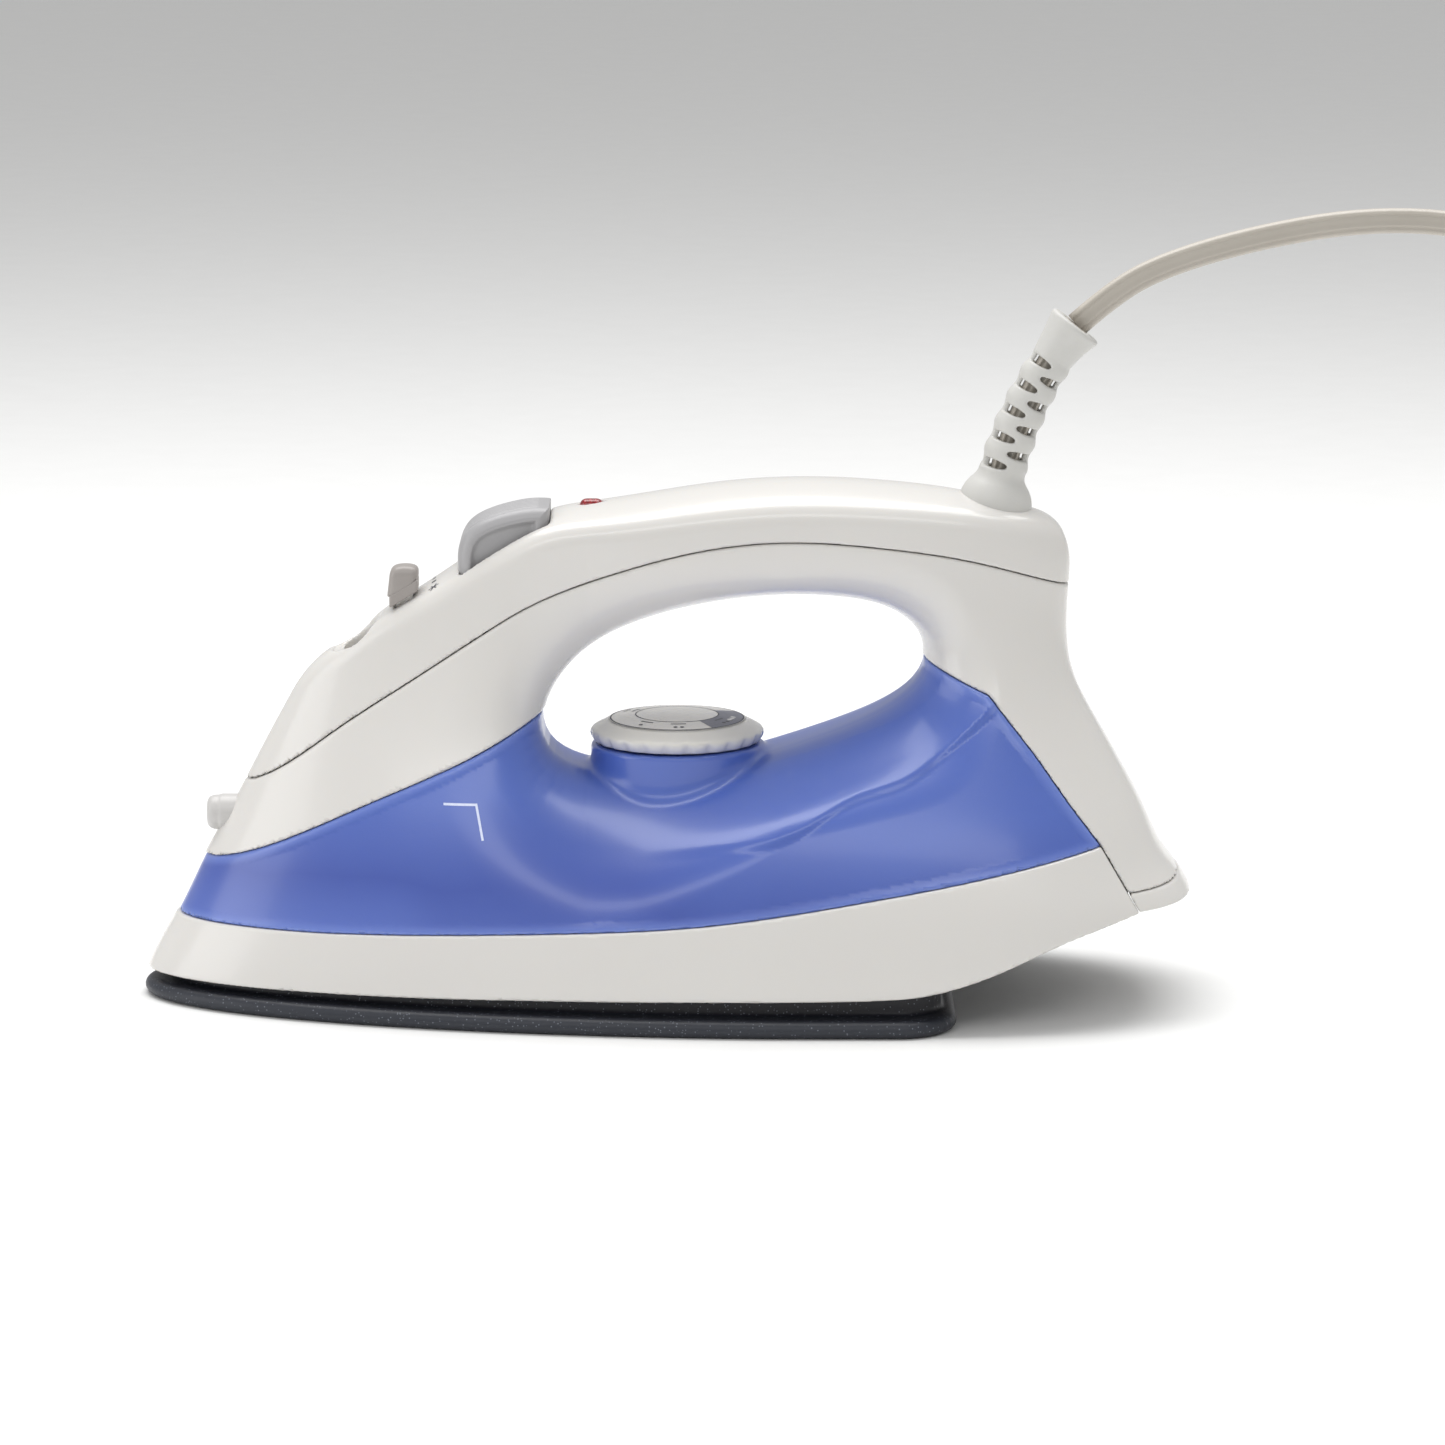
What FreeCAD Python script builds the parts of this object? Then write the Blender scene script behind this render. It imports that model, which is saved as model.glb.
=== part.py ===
import FreeCAD, Part
import math
import os

# A household steam iron, standing on its soleplate. Millimetres, +Z up, nose at -X, heel at +X.
# The origin is on the floor, under the middle of the iron's length and width.

Vec = FreeCAD.Vector

# ---- driving sizes: the outside ------------------------------------------------------------
nose_x = -135.5             # tip of the soleplate
heel_x = 135.5              # back of the heel
body_half_width = 53.0      # widest point of the skirt
wall = 2.4                  # moulded shells
crown_curve = 0.0152        # how fast the top of the handle falls away from its middle, per mm
scoop_radius = 34.0         # hollow for the knuckles on both sides of the handle opening
scoop_side = 50.0           # how far the hollow's axis stands from the middle plane
scoop_front = Vec(-8, 0, 79)
scoop_back = Vec(60, 0, 93)

# ---- soleplate and what is cast into it ----------------------------------------------------
plate_half_width = 55.0
plate_back_x = 74.0
plate_thick = 4.6
plate_edge = 1.0            # rounding of the lower edge
plate_corner = 15.0
plate_widest_x = 32.0
casting_inset = 8.0
casting_top = 15.0
element_radius = 3.4
element_spread = 26.0       # middle of each leg from the middle plane
element_bend_x = -60.0
element_back_x = 60.0
element_height = 9.6
pin_radius = 1.5
pin_stub_radius = 1.2       # lying end of the pin, out of the element
pin_reach = 3.0             # from the element's end to the upright
pin_top = 24.0
chamber_radius = 16.0
chamber_front_x = -58.0
chamber_back_x = -24.0
chamber_floor = 7.0
chamber_lip = 5.0
cover_plate_thick = 1.4
small_screw_radius = 1.5
small_screw_head = 2.8
screw_grip = 4.0            # thread below the casting's top
skirt_screw_places = [(-96.0, 0), (50.0, -14.0), (50.0, 14.0)]
heel_screw_places = [(123.0, -18.0), (123.0, 18.0)]
heel_screw_thread = 9.0
sleeve_radius = 5.0         # spacers between casting and tank floor
floor_lift = 1.2            # tank floor above the skirt's upper edge
floor_thick = 2.0
floor_gap = 0.1

# ---- thermostat and dial -------------------------------------------------------------------
dial_x = 2.8
dial_radius = 22.4
dial_bottom = 66.6
dial_rim = 3.6
dial_top = 73.6
face_radius = 17.6
face_edge_height = 72.2
face_thick = 0.9
dial_notches = 24
collar_reach = 2.2          # tank's collar stands out past the dial
collar_radius = dial_radius + collar_reach
collar_gap = 0.8
shaft_radius = 2.5
shaft_fit = 0.05
well_radius = 4.0
thermostat_radius = 13.0
thermostat_top = 24.0

# ---- steam lever and valve -----------------------------------------------------------------
valve_x = -67.0
rod_radius = 1.6
rod_fit = 0.05
rod_lift = 3.0
rod_top = 93.0
seat_radius = 4.4
seat_top = 34.0
lever_travel = 8.0
lever_rest_y = -4.0
lever_width = 6.4           # along the iron
lever_cap_depth = 8.0       # across the iron
lever_cap_top = 113.0
lever_stem = 3.0
lever_gap = 0.4
lever_plate_thick = 2.0
ramp_gap = 0.9
ramp_end = 1.2              # ramp beyond the rod's middle, at both ends of the travel

# ---- spray button and pump -----------------------------------------------------------------
pump_x = -42.0
button_half_width = 11.0
button_front_x = pump_x - 10.6
button_back_x = pump_x + 12.6
button_travel = 4.0
button_gap = 0.4
pump_radius = 6.0
pump_bore = 4.4
piston_fit = 0.08
pump_bottom = 80.0
pump_top = 100.0
stem_radius = 2.0
spring_wire = 0.45
spring_radius = 3.6
spring_turns = 5
tube_radius = 2.0
tube_bore = 1.1
nozzle_radius = 4.8
nozzle_bore = 2.4
nozzle_z = 47.4
nozzle_tip_x = nose_x + 16.8
nozzle_back_x = nozzle_tip_x + 17.7

# ---- filling hole, lamp --------------------------------------------------------------------
fill_x = -78.5
fill_radius = 4.2
fill_wall = 1.2
fill_mouth_long = 7.0
lens_x = -19.0
lens_long = 6.2
lens_wide = 4.2
lens_top = 129.2
lamp_radius = 2.4

# ---- mains side ----------------------------------------------------------------------------
block_size = Vec(15, 16, 12)
block_corner = Vec(78, -8, 86)
cord_diameter = 6.4
wire_radius = 1.3
guard_foot = Vec(84.6, 0, 130.0)
guard_length = 48.4         # straight distance from foot to mouth
guard_lean = 24.5           # degrees from upright, of that straight line
guard_bend = 14.0           # half of the turn along the guard, degrees
guard_core = 5.0
guard_ring = 6.2
guard_ring_thick = 2.2
guard_rings = 6
guard_mouth = 7.5
guard_sleeve = 12.0         # length of the plain sleeve at the mouth
guard_flange = 9.8
guard_plug_radius = 4.6
guard_depth = 12.0          # reach of the guard's foot into the handle
guard_bore = cord_diameter / 2
lead_radius = 2.9
coil_middle_radius = 34.5
coil_wraps = 5
coil_pitch = 3.5
coil_layers = 2
coil_centre = Vec(332, 0, 0)
plug_size = Vec(30, 19, 15)
blade_size = Vec(16, 1.5, 6.3)
blade_spacing = 12.7

small = 0.01

# ---- profile of the iron, seen from the side -----------------------------------------------
# Each level of the outer form: height, front, back, half width, widest point.
levels = [
    (-4.0, nose_x - 2.5, heel_x + 1.0, body_half_width, 40.0),
    (8.2, nose_x + 1.4, heel_x + 0.6, body_half_width - 0.5, 40.0),
    (22.0, nose_x + 8.8, heel_x + 1.6, body_half_width - 2.0, 40.0),
    (30.0, nose_x + 12.8, heel_x - 0.85, body_half_width - 3.6, 40.0),
    (37.0, nose_x + 16.2, heel_x - 6.0, body_half_width - 5.6, 39.0),
    (48.0, nose_x + 22.4, heel_x - 11.6, body_half_width - 10.0, 37.0),
    (60.0, nose_x + 28.8, heel_x - 17.8, body_half_width - 16.0, 34.0),
    (72.0, nose_x + 35.2, heel_x - 24.6, body_half_width - 22.0, 31.0),
    (84.0, nose_x + 41.6, heel_x - 30.6, body_half_width - 27.0, 28.0),
    (96.0, nose_x + 46.4, heel_x - 32.6, body_half_width - 31.0, 24.0),
    (108.0, nose_x + 49.8, heel_x - 32.2, body_half_width - 33.2, 20.0),
    (117.0, nose_x + 51.6, heel_x - 32.4, body_half_width - 33.8, 20.0),
    (126.0, nose_x + 53.0, heel_x - 36.4, body_half_width - 34.0, 20.0),
    (140.0, nose_x + 55.0, heel_x - 45.0, body_half_width - 34.6, 20.0),
]
top_line = [
    (-150, 43.5), (-125, 62.0), (-105, 76.8), (-92.5, 86.0), (-82, 93.6), (-71.7, 101.0), (-62, 107.0),
    (-50, 115.0), (-40, 121.2), (-30, 126.2), (-20, 128.3), (-5, 130.6), (12, 133.2),
    (34, 134.7), (57, 133.7), (76, 131.2), (90, 127.8), (100, 124.9), (125, 118.0), (150, 111.0),
]
# Seam between the handle's cover and its body, nose to heel.
cover_seam = [
    (-125, 56.0), (-108.7, 56.3), (-102.7, 58.9), (-84.6, 71.4), (-64, 85.2), (-46.6, 96.7),
    (-35.8, 103.3), (-16.7, 111.2), (8.4, 118.4), (33.7, 120.8), (54.5, 119.3),
    (77.6, 115.6), (103, 108.0), (125, 101.0),
]
# Upper edge of the tank in front of the opening, and behind it down to the skirt.
tank_front_edge = [
    (-135, 35.5), (-119.4, 36.8), (-110.5, 39), (-93.5, 45.8), (-75.1, 54.5),
    (-49.6, 66.2), (-30.9, 76), (-14, 84.5),
]
tank_back_edge = [(56, 93.5), (82, 82.2), (93.6, 67.7), (102.3, 55.7), (110.4, 45.2)]
skirt_top = [
    (-145, 21.6), (-126.7, 21.8), (-89.3, 22.2), (-60.9, 23.3), (-27.8, 25), (8.4, 27.6),
    (47.2, 33.4), (76, 38.4), (110.4, 45.2),
]
skirt_bottom = [
    (-145, 7.0), (-79, 7.2), (-28, 8.1), (29, 9), (51, 9.4), (62, 10), (74, 12.5),
    (86, 16.7), (98, 21.8), (120.2, 28.6),
]
heel_bottom = 28.6
heel_cover_thick = 5.0
# Handle opening, anticlockwise seen from the left side, starting at the front.
opening_line = [
    (-31.4, 73.5), (-29.6, 66.5), (-22, 61.6), (-8, 60.2), (10, 61.2), (31.7, 66.8),
    (47, 72.4), (57.5, 77.8), (65.2, 86), (65.4, 94), (57.5, 101.6), (45, 104.8),
    (30, 105.4), (12, 103.4), (-6, 98.8), (-20, 91.6), (-28, 83),
]


# ---- helpers -------------------------------------------------------------------------------
def box(low, high):
    size = Vec(high) - Vec(low)
    return Part.makeBox(size.x, size.y, size.z, Vec(low))


def rod(radius, foot, length, direction=Vec(0, 0, 1)):
    return Part.makeCylinder(radius, length, Vec(foot), direction)


def fuse(*solids):
    whole = solids[0]
    for other in solids[1:]:
        whole = whole.fuse(other)
    return whole.removeSplitter()


def spline(points, closed=False):
    curve = Part.BSplineCurve()
    curve.interpolate(Points=points, PeriodicFlag=closed)
    return curve


def side_points(line, y=0.0):
    return [Vec(x, y, z) for x, z in line]


def side_prism(wire, half=90.0):
    """A solid as wide as 2 x half, from an outline in the middle plane."""
    wire.translate(Vec(0, -half, 0))
    return Part.Face(wire).extrude(Vec(0, 2 * half, 0))


def band(low_curves, high_points):
    """Outline in the side view: given edges, closed by straight lines through high_points."""
    edges = list(low_curves)
    start = low_curves[-1].valueAt(low_curves[-1].LastParameter)
    first = low_curves[0].valueAt(low_curves[0].FirstParameter)
    for point in [Vec(x, 0, z) for x, z in high_points] + [first]:
        edges.append(Part.LineSegment(start, point).toShape())
        start = point
    return Part.Wire(edges)


def line_edge(line):
    return spline(side_points(line)).toShape()


def raised(line, by):
    return [(x, z + by) for x, z in line]


def outline_point(level, angle, inset):
    """Point of the plan outline at one level; angle 0 is the nose, 180 degrees the heel."""
    height, front, back, half_width, widest = level
    turn = math.radians(angle)
    across = (half_width - inset) * abs(math.sin(turn)) ** (1.0 if angle <= 90 else 0.72)
    if angle <= 90:
        x = widest - (widest - front - inset) * abs(math.cos(turn)) ** 1.16
    else:
        x = widest + (back - inset - widest) * abs(math.cos(turn)) ** 0.62
    return x, across


outline_angles = [0, 9, 20, 33, 48, 66, 90, 108, 122, 134, 145, 155, 165, 173, 180]


def level_wire(level, inset):
    near = [outline_point(level, a, inset) for a in outline_angles]
    points = [Vec(x, -y, level[0]) for x, y in reversed(near)]
    points += [Vec(x, y, level[0]) for x, y in near[1:-1]]
    return Part.Wire(spline(points, True).toShape())


def form(inset):
    """The iron's outer form up to above the handle, or the same form moved inwards."""
    return Part.makeLoft([level_wire(level, inset) for level in levels], True)


def crown(lower):
    """Everything below the top surface of the handle."""
    half_rows = [0, 9, 18, 30, 46, 66]
    rows = [-y for y in reversed(half_rows[1:])] + half_rows
    grid = [[Vec(x, y, z - lower - crown_curve * y * y) for y in rows] for x, z in top_line]
    surface = Part.BSplineSurface()
    surface.interpolate(grid)
    return surface.toShape().extrude(Vec(0, 0, -260))


def grown(line, by):
    """A closed outline moved outwards by a distance."""
    result = []
    count = len(line)
    for i in range(count):
        x0, z0 = line[i - 1]
        x1, z1 = line[(i + 1) % count]
        length = math.hypot(x1 - x0, z1 - z0)
        result.append((line[i][0] + by * (z1 - z0) / length, line[i][1] - by * (x1 - x0) / length))
    return result


def opening(by):
    return side_prism(Part.Wire(spline(side_points(grown(opening_line, by)), True).toShape()))


def capsule(start, end, radius):
    axis = end - start
    return fuse(rod(radius, start, axis.Length, axis), Part.makeSphere(radius, start),
                Part.makeSphere(radius, end))


def body_half(inset):
    """Near half of the whole body above the soleplate, moved inwards by inset."""
    near = box((-300, -100, -10), (300, 0, 200))
    outside = form(inset).common(near)
    aside = Vec(0, -scoop_side, 0)
    scoop = capsule(scoop_front + aside, scoop_back + aside, scoop_radius + inset)
    collar_top = dial_bottom - collar_gap - inset
    collar = rod(collar_radius - inset, (dial_x, 0, 40), collar_top - 40).common(near)
    solid = outside.common(crown(inset)).cut(opening(inset)).cut(scoop)
    return solid.fuse(collar)


def both_sides(half):
    return half.fuse(half.mirror(Vec(0, 0, 0), Vec(0, 1, 0)))


def clad(outer, inner, region, inner_region=None):
    """Moulded shell of one region: the outside minus the same region of the inside."""
    return both_sides(outer.common(region).cut(inner.common(inner_region or region)))


# ---- regions of the side view --------------------------------------------------------------
def joined_prism(edges):
    return side_prism(Part.Wire(Part.__sortEdges__(edges)))


def straight(*points):
    ends = [Vec(x, 0, z) for x, z in points]
    return [Part.LineSegment(a, b).toShape() for a, b in zip(ends, ends[1:])]


def tank_top_edges(lower):
    """Upper edge of the tank, nose to heel, moved down and forward by a distance."""
    front = raised(tank_front_edge, -lower)
    back = [(x - 0.6 * lower, z - 0.8 * lower) for x, z in tank_back_edge]
    return [line_edge(front)] + straight(front[-1], *back), front[0], back[-1]


def cover_region():
    first, last = cover_seam[0], cover_seam[-1]
    return joined_prism([line_edge(cover_seam)] + straight(last, (200, 170), (-200, 170), first))


def tank_region():
    edges, first, last = tank_top_edges(0.0)
    return joined_prism(edges + [line_edge(skirt_top)] + straight(first, skirt_top[0]))


def tank_inside():
    """Keeps the tank's hollow clear of its own top wall."""
    edges, first, last = tank_top_edges(wall)
    return joined_prism(edges + straight(last, (last[0], -20), (-200, -20), first))


def skirt_region():
    gap_edge = straight(skirt_top[-1], skirt_bottom[-1])
    side = straight(skirt_top[0], skirt_bottom[0])
    return joined_prism([line_edge(skirt_top), line_edge(skirt_bottom)] + gap_edge + side)


def handle_region():
    edges, first, last = tank_top_edges(0.0)
    foot = (skirt_bottom[-1][0], heel_bottom)
    outside = straight(last, foot, (200, heel_bottom), (200, 101), cover_seam[-1])
    return joined_prism(edges + [line_edge(cover_seam)] + outside + straight(cover_seam[0], first))


def strip_region(line, low, high):
    """A band that follows a line of the side view, between two heights above it."""
    under, over = raised(line, low), raised(line, high)
    sides = straight(under[0], over[0]) + straight(under[-1], over[-1])
    return joined_prism([line_edge(under), line_edge(over)] + sides)


# ---- sheet of finished pieces --------------------------------------------------------------
pieces = {}


def keep(name, shape):
    pieces[name] = shape


def height_on(line, x):
    """Height of a side-view line at one place along the iron."""
    for (x0, z0), (x1, z1) in zip(line, line[1:]):
        if x0 <= x <= x1:
            return z0 + (z1 - z0) * (x - x0) / (x1 - x0)
    raise ValueError("no line there")


def mirrored(make):
    """Two pieces, one on each side of the middle plane."""
    return Part.makeCompound([make(-1), make(1)])


def group(solids):
    return Part.makeCompound(solids)


def plate_outline(inset, height, back_x):
    """Plan of the soleplate as a face: a pointed nose and rounded back corners."""
    half = plate_half_width - inset
    front = nose_x + inset
    nose = []
    for angle in (90, 70, 52, 37, 24, 12, 0):
        turn = math.radians(angle)
        x = plate_widest_x - (plate_widest_x - front) * math.cos(turn) ** 1.16
        nose.append((x, half * math.sin(turn)))
    around = [Vec(x, y, height) for x, y in nose]
    around += [Vec(x, -y, height) for x, y in reversed(nose[:-1])]
    corner = plate_corner - inset / 2
    bend = corner * (1 - math.sqrt(0.5))
    flat = [Vec(plate_widest_x, -half, height), Vec(back_x - corner, -half, height),
            Vec(back_x - bend, -half + bend, height), Vec(back_x, -half + corner, height)]
    back = [Vec(p.x, -p.y, p.z) for p in reversed(flat)]
    edges = [spline(around).toShape()]
    edges.append(Part.LineSegment(flat[0], flat[1]).toShape())
    edges.append(Part.Arc(flat[1], flat[2], flat[3]).toShape())
    edges.append(Part.LineSegment(flat[3], back[0]).toShape())
    edges.append(Part.Arc(back[0], back[1], back[2]).toShape())
    edges.append(Part.LineSegment(back[2], back[3]).toShape())
    return Part.Face(Part.Wire(Part.__sortEdges__(edges)))


def plate_block(inset, low, high, back_x):
    return plate_outline(inset, low, back_x).extrude(Vec(0, 0, high - low))


def stadium(front_x, back_x, radius, low, high):
    """Half round at the front, square at the back, in plan."""
    block = box((front_x, -radius, low), (back_x, radius, high))
    return fuse(block, rod(radius, (front_x, 0, low), high - low))


# ---- soleplate group -----------------------------------------------------------------------
def heating_element():
    legs = [rod(element_radius, (element_bend_x, side * element_spread, element_height),
                element_back_x - element_bend_x, Vec(1, 0, 0)) for side in (-1, 1)]
    ring = Part.makeTorus(element_spread, element_radius, Vec(element_bend_x, 0, element_height))
    reach = element_spread + element_radius + 1
    front = box((element_bend_x - reach, -reach, 0), (element_bend_x, reach, casting_top))
    return fuse(ring.common(front), *legs)


def element_pins():
    def pin(side):
        y = side * element_spread
        stub = rod(pin_stub_radius, (element_back_x, y, element_height), pin_reach, Vec(1, 0, 0))
        foot = element_height - pin_radius
        return fuse(stub, rod(pin_radius, (element_back_x + pin_reach, y, foot), pin_top - foot))
    return mirrored(pin)


chamber_screw_places = []
for side in (-1, 1):
    chamber_screw_places.append((chamber_front_x, side * (chamber_radius + chamber_lip / 2)))
    chamber_screw_places.append((chamber_back_x + chamber_lip / 2, side * (chamber_radius - 3)))


def soleplate(element, pins):
    plate = plate_block(0, 0, plate_thick, plate_back_x)
    rim = [e for e in plate.Edges if e.BoundBox.ZMax < small]
    plate = plate.makeChamfer(plate_edge, rim)
    casting = plate_block(casting_inset, plate_thick - 1, casting_top, plate_back_x - casting_inset / 2)
    body = fuse(plate, casting)
    pocket = stadium(chamber_front_x, chamber_back_x, chamber_radius, chamber_floor, casting_top + 1)
    body = body.cut(pocket).cut(element)
    for pin in pins.Solids:
        body = body.cut(pin)
    for x, y in chamber_screw_places:
        body = body.cut(rod(small_screw_radius, (x, y, casting_top - 5), 6))
    for x, y in skirt_screw_places:
        body = body.cut(rod(small_screw_radius, (x, y, casting_top - 5), 6))
    return body


def chamber_cover():
    top = casting_top + cover_plate_thick
    plate = stadium(chamber_front_x, chamber_back_x + chamber_lip, chamber_radius + chamber_lip,
                    casting_top, top)
    plate = plate.cut(rod(rod_radius + rod_fit, (valve_x, 0, casting_top - 1), 4))
    for x, y in chamber_screw_places:
        plate = plate.cut(rod(small_screw_radius, (x, y, casting_top - 1), 4))
    return plate


def screw(x, y, seat, thread):
    head = rod(small_screw_head, (x, y, seat), 1.6)
    slot = box((x - small_screw_head, y - 0.4, seat + 1.0), (x + small_screw_head, y + 0.4, seat + 2))
    return fuse(head.cut(slot), rod(small_screw_radius, (x, y, seat - thread), thread))


def chamber_screws():
    seat = casting_top + cover_plate_thick
    return group([screw(x, y, seat, cover_plate_thick + screw_grip) for x, y in chamber_screw_places])


# ---- skirt and tank ------------------------------------------------------------------------

def skirt(outer, inner):
    """The lower white band."""
    return clad(outer, inner, skirt_region())


def under_cover():
    """Pan that closes the underside behind the soleplate."""
    pan = strip_region(skirt_bottom, 0, wall).common(form(wall + small))
    front_x, back_x = plate_back_x - casting_inset / 2 + 1, skirt_bottom[-1][0] - 2
    return pan.common(box((front_x, -90, 0), (back_x, 90, 60)))


def spacers():
    """Three sleeves between the casting and the tank's floor."""
    sleeves = []
    for x, y in skirt_screw_places:
        height = height_on(skirt_top, x) + floor_lift - casting_top
        sleeve = rod(sleeve_radius, (x, y, casting_top), height - 1.0)
        sleeves.append(sleeve.cut(rod(small_screw_radius, (x, y, casting_top - 1), height + 2)))
    return group(sleeves)


def spacer_screws():
    screws = []
    for x, y in skirt_screw_places:
        seat = height_on(skirt_top, x) + floor_lift - 1.0
        screws.append(screw(x, y, seat, seat - casting_top + screw_grip))
    return group(screws)


def tank_floor():
    plate = strip_region(skirt_top, floor_lift, floor_lift + floor_thick).common(form(wall + floor_gap))
    plate = plate.cut(box((tank_back_edge[-1][0] - 6, -90, 0), (200, 90, 90)))
    plate = plate.cut(rod(well_radius, (dial_x, 0, 0), 60))
    plate = plate.cut(rod(seat_radius, (valve_x, 0, 0), 60))
    for x, y in skirt_screw_places:
        plate = plate.cut(rod(small_screw_head + 0.5, (x, y, 0), 60))
    return plate


def valve_seat():
    foot = casting_top + cover_plate_thick
    body = rod(seat_radius, (valve_x, 0, foot), seat_top - foot)
    body = body.cut(rod(rod_radius + rod_fit, (valve_x, 0, 0), 60))
    port = rod(1.0, (valve_x - 6, 0, 28.5), 12, Vec(1, 0, 0))
    return body.cut(port)


def tank_shell(outer, inner):
    tank = clad(outer, inner, tank_region(), tank_inside())
    well_low = height_on(skirt_top, dial_x + well_radius) + floor_lift + floor_thick + floor_gap
    well = rod(well_radius + wall / 2, (dial_x, 0, well_low), dial_bottom - collar_gap - small - well_low)
    tank = tank.fuse(well)
    tank = tank.cut(rod(well_radius, (dial_x, 0, 0), 90))
    tank = tank.cut(rod(rod_radius + 0.6, (valve_x, 0, 45), 30))
    tank = tank.cut(rod(fill_radius + fill_wall, (fill_x, 0, 45), 30))
    return tank.cut(rod(tube_radius, (pump_x, 0, 55), 30))


# ---- handle --------------------------------------------------------------------------------
def button_profile(by=0.0, drop=0.0):
    """Side view of the spray button; by widens it, drop carries it further down."""
    front, back = button_front_x - by, button_back_x + by
    top = [(front, 113.5), (front + 1.7, 121.0), (front + 7, 125.2), (front + 12.5, 127.3),
           (-35, 128.5 + by), (back, 129.0 + by)]
    edges = [line_edge(top)] + straight(top[-1], (back, 115 - drop), (front, 111 - drop), top[0])
    return joined_prism(edges).common(box((-80, -button_half_width - by, 0),
                                          (0, button_half_width + by, 200)))


def spray_button():
    block = button_profile()
    hollow = block.copy()
    hollow.translate(Vec(0, 0, -wall))
    inside = box((-80, wall - button_half_width, 0), (0, button_half_width - wall, 200))
    inside = inside.common(box((button_front_x + wall, -50, 0), (button_back_x - wall, 50, 200)))
    cap = block.cut(hollow.common(inside))
    return fuse(cap, rod(stem_radius + 1.4, (pump_x, 0, 113.0), 12.4))


def lens_shape(by, low, high):
    half = lens_long / 2 - lens_wide / 2
    ends = [rod(lens_wide / 2 + by, (lens_x + s * half, 0, low), high - low) for s in (-1, 1)]
    middle = box((lens_x - half, -lens_wide / 2 - by, low), (lens_x + half, lens_wide / 2 + by, high))
    return fuse(ends[0], ends[1], middle)


def fill_mouth(by, low, high):
    half = fill_mouth_long / 2
    ends = [rod(fill_radius + by, (fill_x, s * half, low), high - low) for s in (-1, 1)]
    middle = box((fill_x - fill_radius - by, -half, low), (fill_x + fill_radius + by, half, high))
    return fuse(ends[0], ends[1], middle)


def lever_slot():
    reach = lever_stem / 2 + lever_gap
    low = lever_rest_y - lever_stem / 2 - lever_gap
    high = lever_rest_y + lever_travel + lever_stem / 2 + lever_gap
    return box((valve_x - reach, low, 90), (valve_x + reach, high, 130))


def handle_cover(outer, inner):
    cover = clad(outer, inner, cover_region())
    cover = cover.cut(button_profile(button_gap, 8))
    cover = cover.cut(lens_shape(0, 110, 140)).cut(fill_mouth(0, 80, 120)).cut(lever_slot())
    return cover.cut(rod(guard_plug_radius, guard_foot - guard_way * 20, 40, guard_way))


def handle_body(outer, inner):
    body = clad(outer, inner, handle_region())
    body = body.cut(box((90, -90, 0), (200, 90, heel_bottom + heel_cover_thick)))
    body = body.cut(rod(nozzle_radius, (-130, 0, nozzle_z), 40, Vec(1, 0, 0)))
    return body


def heel_cover(outer):
    """Plate that closes the heel from below."""
    low = handle_region().common(box((90, -90, heel_bottom), (200, 90, heel_bottom + heel_cover_thick)))
    block = both_sides(outer.common(low))
    hollow = form(wall).common(box((90, -90, heel_bottom + wall), (200, 90, 90)))
    plate = block.cut(hollow)
    for x, y in heel_screw_places:
        plate = plate.cut(rod(small_screw_radius, (x, y, 0), 60))
    return plate


def heel_screws():
    """Heads below the plate, threads up into the heel."""
    screws = []
    for x, y in heel_screw_places:
        head = rod(small_screw_head, (x, y, heel_bottom - 1.4), 1.4)
        screws.append(fuse(head, rod(small_screw_radius, (x, y, heel_bottom), heel_screw_thread)))
    return group(screws)


# ---- dial ----------------------------------------------------------------------------------
def revolved(profile, place):
    """A turned piece: profile is radius, height pairs about an upright axis."""
    points = [Vec(r, 0, z) for r, z in profile] + [Vec(profile[0][0], 0, profile[0][1])]
    face = Part.Face(Part.makePolygon(points))
    solid = face.revolve(Vec(0, 0, 0), Vec(0, 0, 1), 360)
    solid.translate(Vec(place))
    return solid


def dial():
    recess = face_edge_height - face_thick
    profile = [(0, dial_bottom), (dial_radius - 1.2, dial_bottom), (dial_radius, dial_bottom + 1.2),
               (dial_radius - 0.3, dial_bottom + 2.4), (dial_radius - 1.6, dial_bottom + dial_rim),
               (face_radius, face_edge_height), (face_radius, recess), (0, recess)]
    knob = revolved(profile, (dial_x, 0, 0))
    for i in range(dial_notches):
        angle = 2 * math.pi * i / dial_notches
        reach = dial_radius + 1.6
        place = (dial_x + reach * math.cos(angle), reach * math.sin(angle), dial_bottom - 1)
        knob = knob.cut(rod(2.2, place, dial_rim))
    return knob.cut(rod(shaft_radius, (dial_x, 0, 0), dial_bottom + 3))


def dial_face():
    low = face_edge_height - face_thick
    profile = [(0, low), (face_radius, low), (face_radius, face_edge_height),
               (face_radius * 0.66, dial_top - 0.55), (face_radius * 0.33, dial_top - 0.12), (0, dial_top)]
    return revolved(profile, (dial_x, 0, 0))


def thermostat_shaft():
    foot = thermostat_top - 5
    flat = box((dial_x + shaft_radius - 0.8, -5, dial_bottom - 4), (dial_x + 9, 5, dial_bottom - 0.5))
    return rod(shaft_radius, (dial_x, 0, foot), dial_bottom + 3 - foot).cut(flat)


def thermostat():
    base = rod(thermostat_radius, (dial_x, 0, casting_top), 2)
    stack = box((dial_x - 9, -7, casting_top + 2), (dial_x + 9, 7, thermostat_top))
    body = fuse(base, stack)
    return body.cut(rod(shaft_radius + shaft_fit, (dial_x, 0, thermostat_top - 5.4), 12))


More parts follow.
